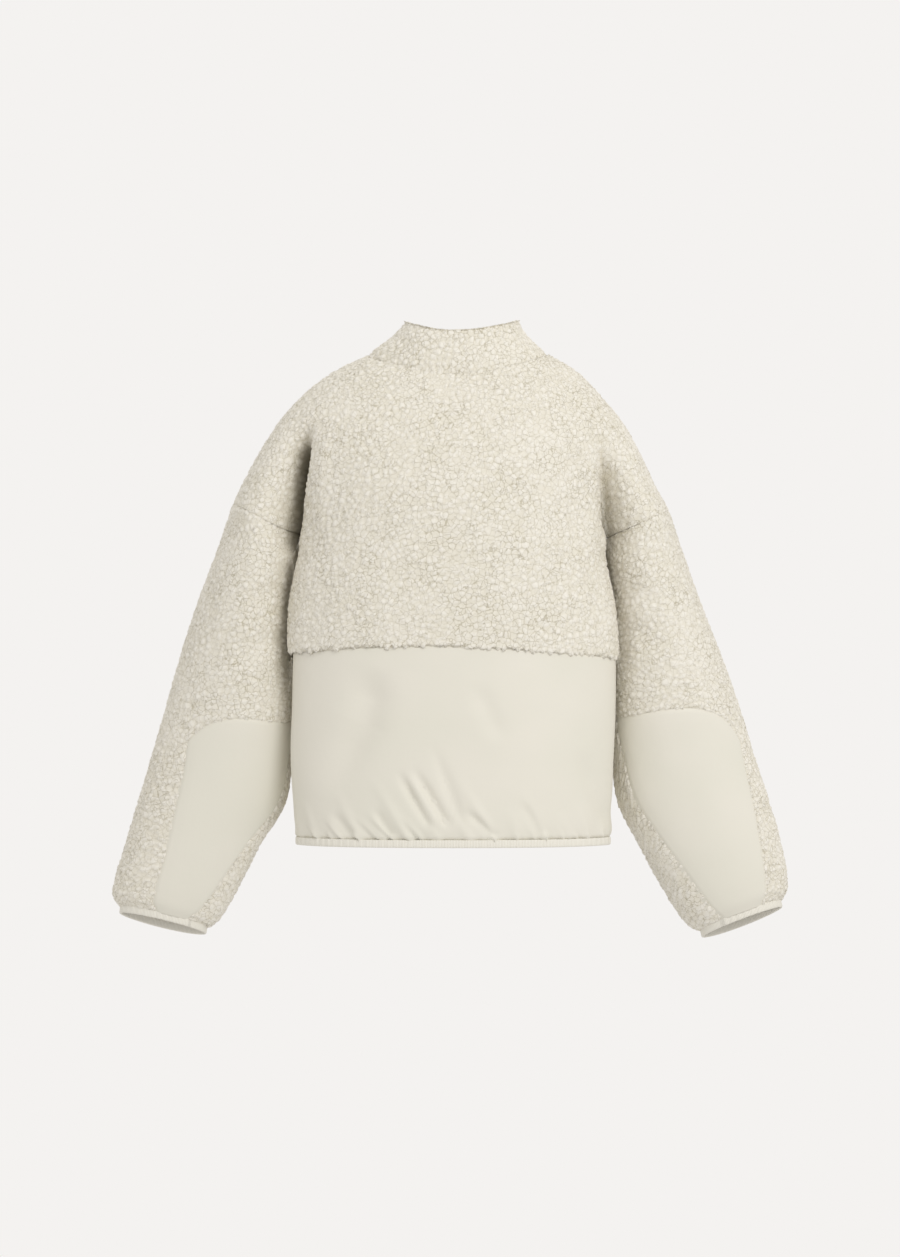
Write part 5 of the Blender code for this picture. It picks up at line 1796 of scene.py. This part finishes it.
@dataclass(frozen=True)
class Studio:
    """Camera as in the photograph, soft light from its right, pale floor and sky."""

    distance: float = 5.0
    sky: str = "#f4f2f0"
    floor: str = "#f4f2f0"
    floor_level: float = -1.15
    floor_half: float = 30.0
    ambient: float = 0.86
    middle: tuple[float, float, float] = (0.0, 0.0, -0.3)

    def camera(self) -> None:
        """Place the camera behind the jacket, level, at the photograph's scale."""
        lens = bpy.data.cameras.new("photo_camera")
        lens.sensor_fit = "VERTICAL"
        lens.sensor_height = 36.0
        lens.lens = lens.sensor_height * self.distance / (IMAGE_HEIGHT * PIXEL)
        lens.clip_start = 0.05
        holder = bpy.data.objects.new("photo_camera", lens)
        holder.location = CAMERA_PLACE
        holder.rotation_euler = (math.pi / 2, 0.0, 0.0)
        bpy.context.scene.collection.objects.link(holder)
        bpy.context.scene.camera = holder

    def light(self, name: str, place: tuple[float, float, float], size: float, power: float) -> None:
        """Add a square soft light that looks at the jacket's middle."""
        lamp = bpy.data.lights.new(name, "AREA")
        lamp.size = size
        lamp.energy = power
        holder = bpy.data.objects.new(name, lamp)
        holder.location = place
        holder.rotation_euler = (Vector(self.middle) - Vector(place)).to_track_quat("-Z", "Y").to_euler()
        bpy.context.scene.collection.objects.link(holder)

    def build(self) -> None:
        """Set the sky, the floor and the lights."""
        scene = bpy.context.scene
        scene.view_settings.view_transform = "Standard"
        world = bpy.data.worlds.new("studio")
        world.use_nodes = True
        tree = world.node_tree
        seen_straight = add_node(tree, "ShaderNodeLightPath").outputs["Is Camera Ray"]
        strength = add_node(tree, "ShaderNodeMapRange", {
            "Value": seen_straight, "To Min": self.ambient, "To Max": 1.0})
        set_inputs(tree, tree.nodes["Background"], {
            "Color": linear(self.sky), "Strength": strength.outputs["Result"]})
        scene.world = world
        half, level = self.floor_half, self.floor_level
        corners = ((-half, -half), (half, -half), (half, half), (-half, half))
        points = np.array([(x, y, level) for x, y in corners])
        floor = make_object("floor", points, np.array([(0, 1, 2, 3)]), np.zeros((0, 3), int))
        paper, tree, shader = new_material("pale_floor")
        set_inputs(tree, shader, {
            "Base Color": linear("#000000"), "Emission Color": linear(self.floor), "Emission Strength": 1.0,
            "Specular IOR Level": 0.0, "Roughness": 1.0})
        floor.data.materials.append(paper)
        floor.visible_diffuse = False
        floor.visible_glossy = False
        self.light("key", (1.7, -3.1, 1.6), 1.6, 52.0)
        self.light("fill", (-1.6, 3.2, 1.4), 2.0, 24.0)


def ride_all(piece: bpy.types.Object, node: str | None) -> None:
    """Put a piece on the jacket's body and hide the node it stands for."""
    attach(piece, "jacket")
    if node:
        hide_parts(node)
    log.info("%s: %d faces", piece.name, len(piece.data.polygons))


NYLON_CREASES = (
    Crease(((-0.188, -0.300), (-0.190, -0.440), (-0.190, -0.553)), -0.0046, 0.022,
           into=(1.0, 0.0, 0.0), ends=(0.01, 0.55)),
    Crease(((0.188, -0.300), (0.190, -0.440), (0.190, -0.553)), -0.0052, 0.022,
           into=(-1.0, 0.0, 0.0), ends=(0.01, 0.75)),
    Crease((seen(376, 664), seen(364, 725), seen(320, 800)), 0.0082, 0.022, ends=(0.25, 0.45)),
    Crease((seen(396, 768), seen(432, 832)), 0.0046, 0.0050, ends=(0.40, 0.20)),
    Crease((seen(411, 764), seen(452, 832)), 0.0044, 0.0048, ends=(0.40, 0.20)),
    Crease((seen(403, 768), seen(441, 832)), -0.0022, 0.0045, ends=(0.40, 0.20)),
    Crease((seen(430, 738), seen(466, 834)), 0.0034, 0.0060, ends=(0.55, 0.20)),
    Crease((seen(463, 808), seen(498, 840)), 0.0036, 0.0045, ends=(0.40, 0.15)),
    Crease((seen(475, 680), seen(503, 745)), 0.0022, 0.012),
    Crease((seen(578, 745), seen(614, 834)), 0.0036, 0.012, ends=(0.40, 0.20)),
    Crease((seen(520, 800), seen(545, 838)), 0.0024, 0.006, ends=(0.40, 0.15)),
    Crease((seen(372, 806), seen(392, 838)), 0.0026, 0.005, ends=(0.40, 0.15)),
    Crease((seen(330, 812), seen(352, 838)), 0.0022, 0.005, ends=(0.40, 0.15)),
    Crease(((-0.10, -0.46), (-0.04, -0.55)), 0.0034, 0.012, back=False),
    Crease(((0.12, -0.44), (0.07, -0.53)), 0.0032, 0.012, back=False),
    Crease(((0.05, -0.36), (0.10, -0.41)), 0.0018, 0.012, back=False),
    Crease(((-0.15, -0.39), (-0.09, -0.44)), 0.0022, 0.012, back=False),
)
COLLAR_CREASES = (
    Crease((seen(360, 370), seen(375, 353), seen(394, 330)), -0.0085, 0.021,
           into=(1.0, 0.0, 0.0), ends=(0.35, 0.50)),
)
# the body swells out in front of the sleeves below the underarms
BODY_SWELLS = (
    Crease(((-0.186, -0.203), (-0.188, -0.250), (-0.190, -0.345)), -0.0064, 0.022,
           into=(1.0, 0.0, 0.0), ends=(0.60, 0.01)),
    Crease(((0.186, -0.203), (0.188, -0.250), (0.190, -0.345)), -0.0070, 0.022,
           into=(-1.0, 0.0, 0.0), ends=(0.60, 0.01)),
)
ARMHOLE_CREASES = {
    Side.LEFT: (
        Crease((seen(313, 436), seen(304, 490), seen(299, 530), seen(296, 556)), -0.0040, 0.012,
               into=(1.0, 0.0, 0.0), ends=(0.30, 0.20)),
        Crease((seen(308, 422), seen(301, 455), seen(295.5, 490), seen(291, 525), seen(285.5, 560)),
               0.040, 0.0095, 0.0046, (0.30, 0.95, 0.0), (0.30, 0.22)),
        Crease((seen(324, 420), seen(322, 470), seen(316, 540)), -0.0035, 0.010),
        Crease(((-0.158, -0.085), (-0.176, -0.150), (-0.186, -0.208)), 0.016, 0.012,
               0.006, (0.30, -0.95, 0.0), (0.35, 0.25), back=False),
    ),
    Side.RIGHT: (
        Crease((seen(595, 440), seen(602, 490), seen(608, 530), seen(612, 556)), -0.0040, 0.012,
               into=(-1.0, 0.0, 0.0), ends=(0.30, 0.20)),
        Crease((seen(600, 431), seen(606, 465), seen(611, 500), seen(615.5, 535), seen(620, 562)),
               0.0125, 0.0120, 0.0050, (-0.30, 0.95, 0.0), (0.45, 0.22)),
        Crease((seen(578, 425), seen(576, 480), seen(580, 560)), 0.0038, 0.0085),
        Crease((seen(592, 430), seen(593, 500), seen(598, 570)), -0.0030, 0.0085),
        Crease(((0.156, -0.090), (0.175, -0.150), (0.186, -0.208)), 0.014, 0.012,
               0.006, (-0.30, -0.95, 0.0), (0.35, 0.25), back=False),
    ),
}
SLEEVE_CREASES = {
    Side.LEFT: (
        Crease((seen(287, 552), seen(283, 600), seen(282, 650), seen(284, 715)), 0.018, 0.0080, 0.0050,
               (0.20, 0.98, 0.0), (0.12, 0.30)),
        Crease(((-0.190, -0.215), (-0.194, -0.330)), 0.010, 0.010, 0.006, (0.20, -0.98, 0.0),
               (0.2, 0.3), back=False),
        Crease(((-0.190, -0.300), (-0.262, -0.345)), 0.0030, 0.012),
        Crease(((-0.196, -0.250), (-0.250, -0.276)), 0.0024, 0.011),
        Crease(((-0.200, -0.300), (-0.270, -0.330)), 0.0030, 0.014, back=False),
    ),
    Side.RIGHT: (
        Crease((seen(618, 552), seen(623, 600), seen(626, 650), seen(624, 705)), 0.006, 0.0095, 0.0050,
               (-0.20, 0.98, 0.0), (0.12, 0.30)),
        Crease(((0.190, -0.215), (0.194, -0.330)), 0.010, 0.010, 0.006, (-0.20, -0.98, 0.0),
               (0.2, 0.3), back=False),
        Crease(((0.192, -0.290), (0.258, -0.330)), 0.0028, 0.013),
        Crease(((0.196, -0.245), (0.245, -0.268)), 0.0020, 0.011),
        Crease(((0.200, -0.310), (0.268, -0.342)), 0.0030, 0.014, back=False),
    ),
}


def build_bindings(finishes: Finishes, sleeves: dict[Side, Sleeve]) -> None:
    """Make the hem's band and both cuffs' bands.

    Args:
        finishes: The materials.
        sleeves: The sleeves, whose ends carry the cuffs' bands.
    """
    shape = BodyShape(Fineness(16, 1, 6))
    halves = []
    for side in Side:
        x, y = shape.torso_ring(LOWER_BODY, HEM_Z, side)
        halves.append(np.column_stack([side.sign * x, y, np.full_like(x, HEM_Z + HEM_TUCK)]))
    path = np.vstack([halves[0][::-1], halves[1][1:]])
    down = np.tile([0.0, 0.0, -1.0], (len(path), 1))
    out = np.cross(np.gradient(path, axis=0), down)
    out /= np.linalg.norm(out, axis=1, keepdims=True)
    band = Binding("hem_binding_cloth", path, down, out, BINDING_HEIGHT + HEM_TUCK, False,
                   finishes.elastic).build()
    ride_all(band, "hem_binding")
    for side, sleeve in sleeves.items():
        grid = sleeve.surface()
        wall = Wall("sleeve_form", middles(grid[:, :-1], sleeve.columns))
        wall.add(grid, {}, closed=True)
        normals = wall.normals().reshape(grid.shape[0], sleeve.columns, 3)[-1]
        normals = np.vstack([normals, normals[:1]])
        axis = (grid[-1] - grid[-2])[:-1].mean(axis=0)
        axis /= np.linalg.norm(axis)
        out = normals - np.outer(normals @ axis, axis)
        out /= np.linalg.norm(out, axis=1, keepdims=True)
        path = grid[-1] - SHERPA_WALL / 2 * normals + axis * (CUFF_BINDING_ROOM - CUFF_TUCK)
        cuff = Binding("cuff_binding_" + side.value + "_cloth", path, np.tile(axis, (len(path), 1)), out,
                       CUFF_BINDING_HEIGHT + CUFF_TUCK, True, finishes.elastic).build()
        ride_all(cuff, "cuff_binding_" + side.value)


def main() -> None:
    """Build the jacket's looks in order and report each piece."""
    logging.basicConfig(level=logging.INFO, format="%(name)s %(message)s")
    studio = Studio()
    studio.camera()
    studio.build()
    finishes = Finishes()
    body = SherpaBody(finishes, creases=COLLAR_CREASES + BODY_SWELLS + ARMHOLE_CREASES[Side.LEFT]
                      + ARMHOLE_CREASES[Side.RIGHT])
    back = body.back()
    ride_all(back, "upper_back")
    for side in Side:
        front = body.front(side)
        ride_all(front, "upper_front_" + side.value)
    collar = Collar(finishes, creases=COLLAR_CREASES).build()
    ride_all(collar, "collar")
    sleeves = {}
    for side in Side:
        sleeve = Sleeve(finishes, side, body.armhole(side),
                        creases=SLEEVE_CREASES[side] + ARMHOLE_CREASES[side])
        sleeves[side] = sleeve
        cloth = sleeve.build()
        ride_all(cloth, "sleeve_" + side.value)
        patch = sleeve.patch()
        ride_all(patch, "forearm_patch_" + side.value)
    nylon = NylonBody(finishes, creases=NYLON_CREASES)
    lower = nylon.back()
    ride_all(lower, "lower_back")
    for side in Side:
        front = nylon.front(side)
        ride_all(front, "lower_front_" + side.value)
    build_bindings(finishes, sleeves)
    zipper = Zip(finishes)
    for side in Side:
        tape = zipper.tape(side)
        ride_all(tape, "zip_tape_" + side.value)
        ride_all(zipper.teeth(side), None)
    for name in ("zip_slider", "zip_pull_tab"):
        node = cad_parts[name]
        for slot in node.material_slots:
            slot.material = finishes.metal


if __name__ == "__main__":
    main()
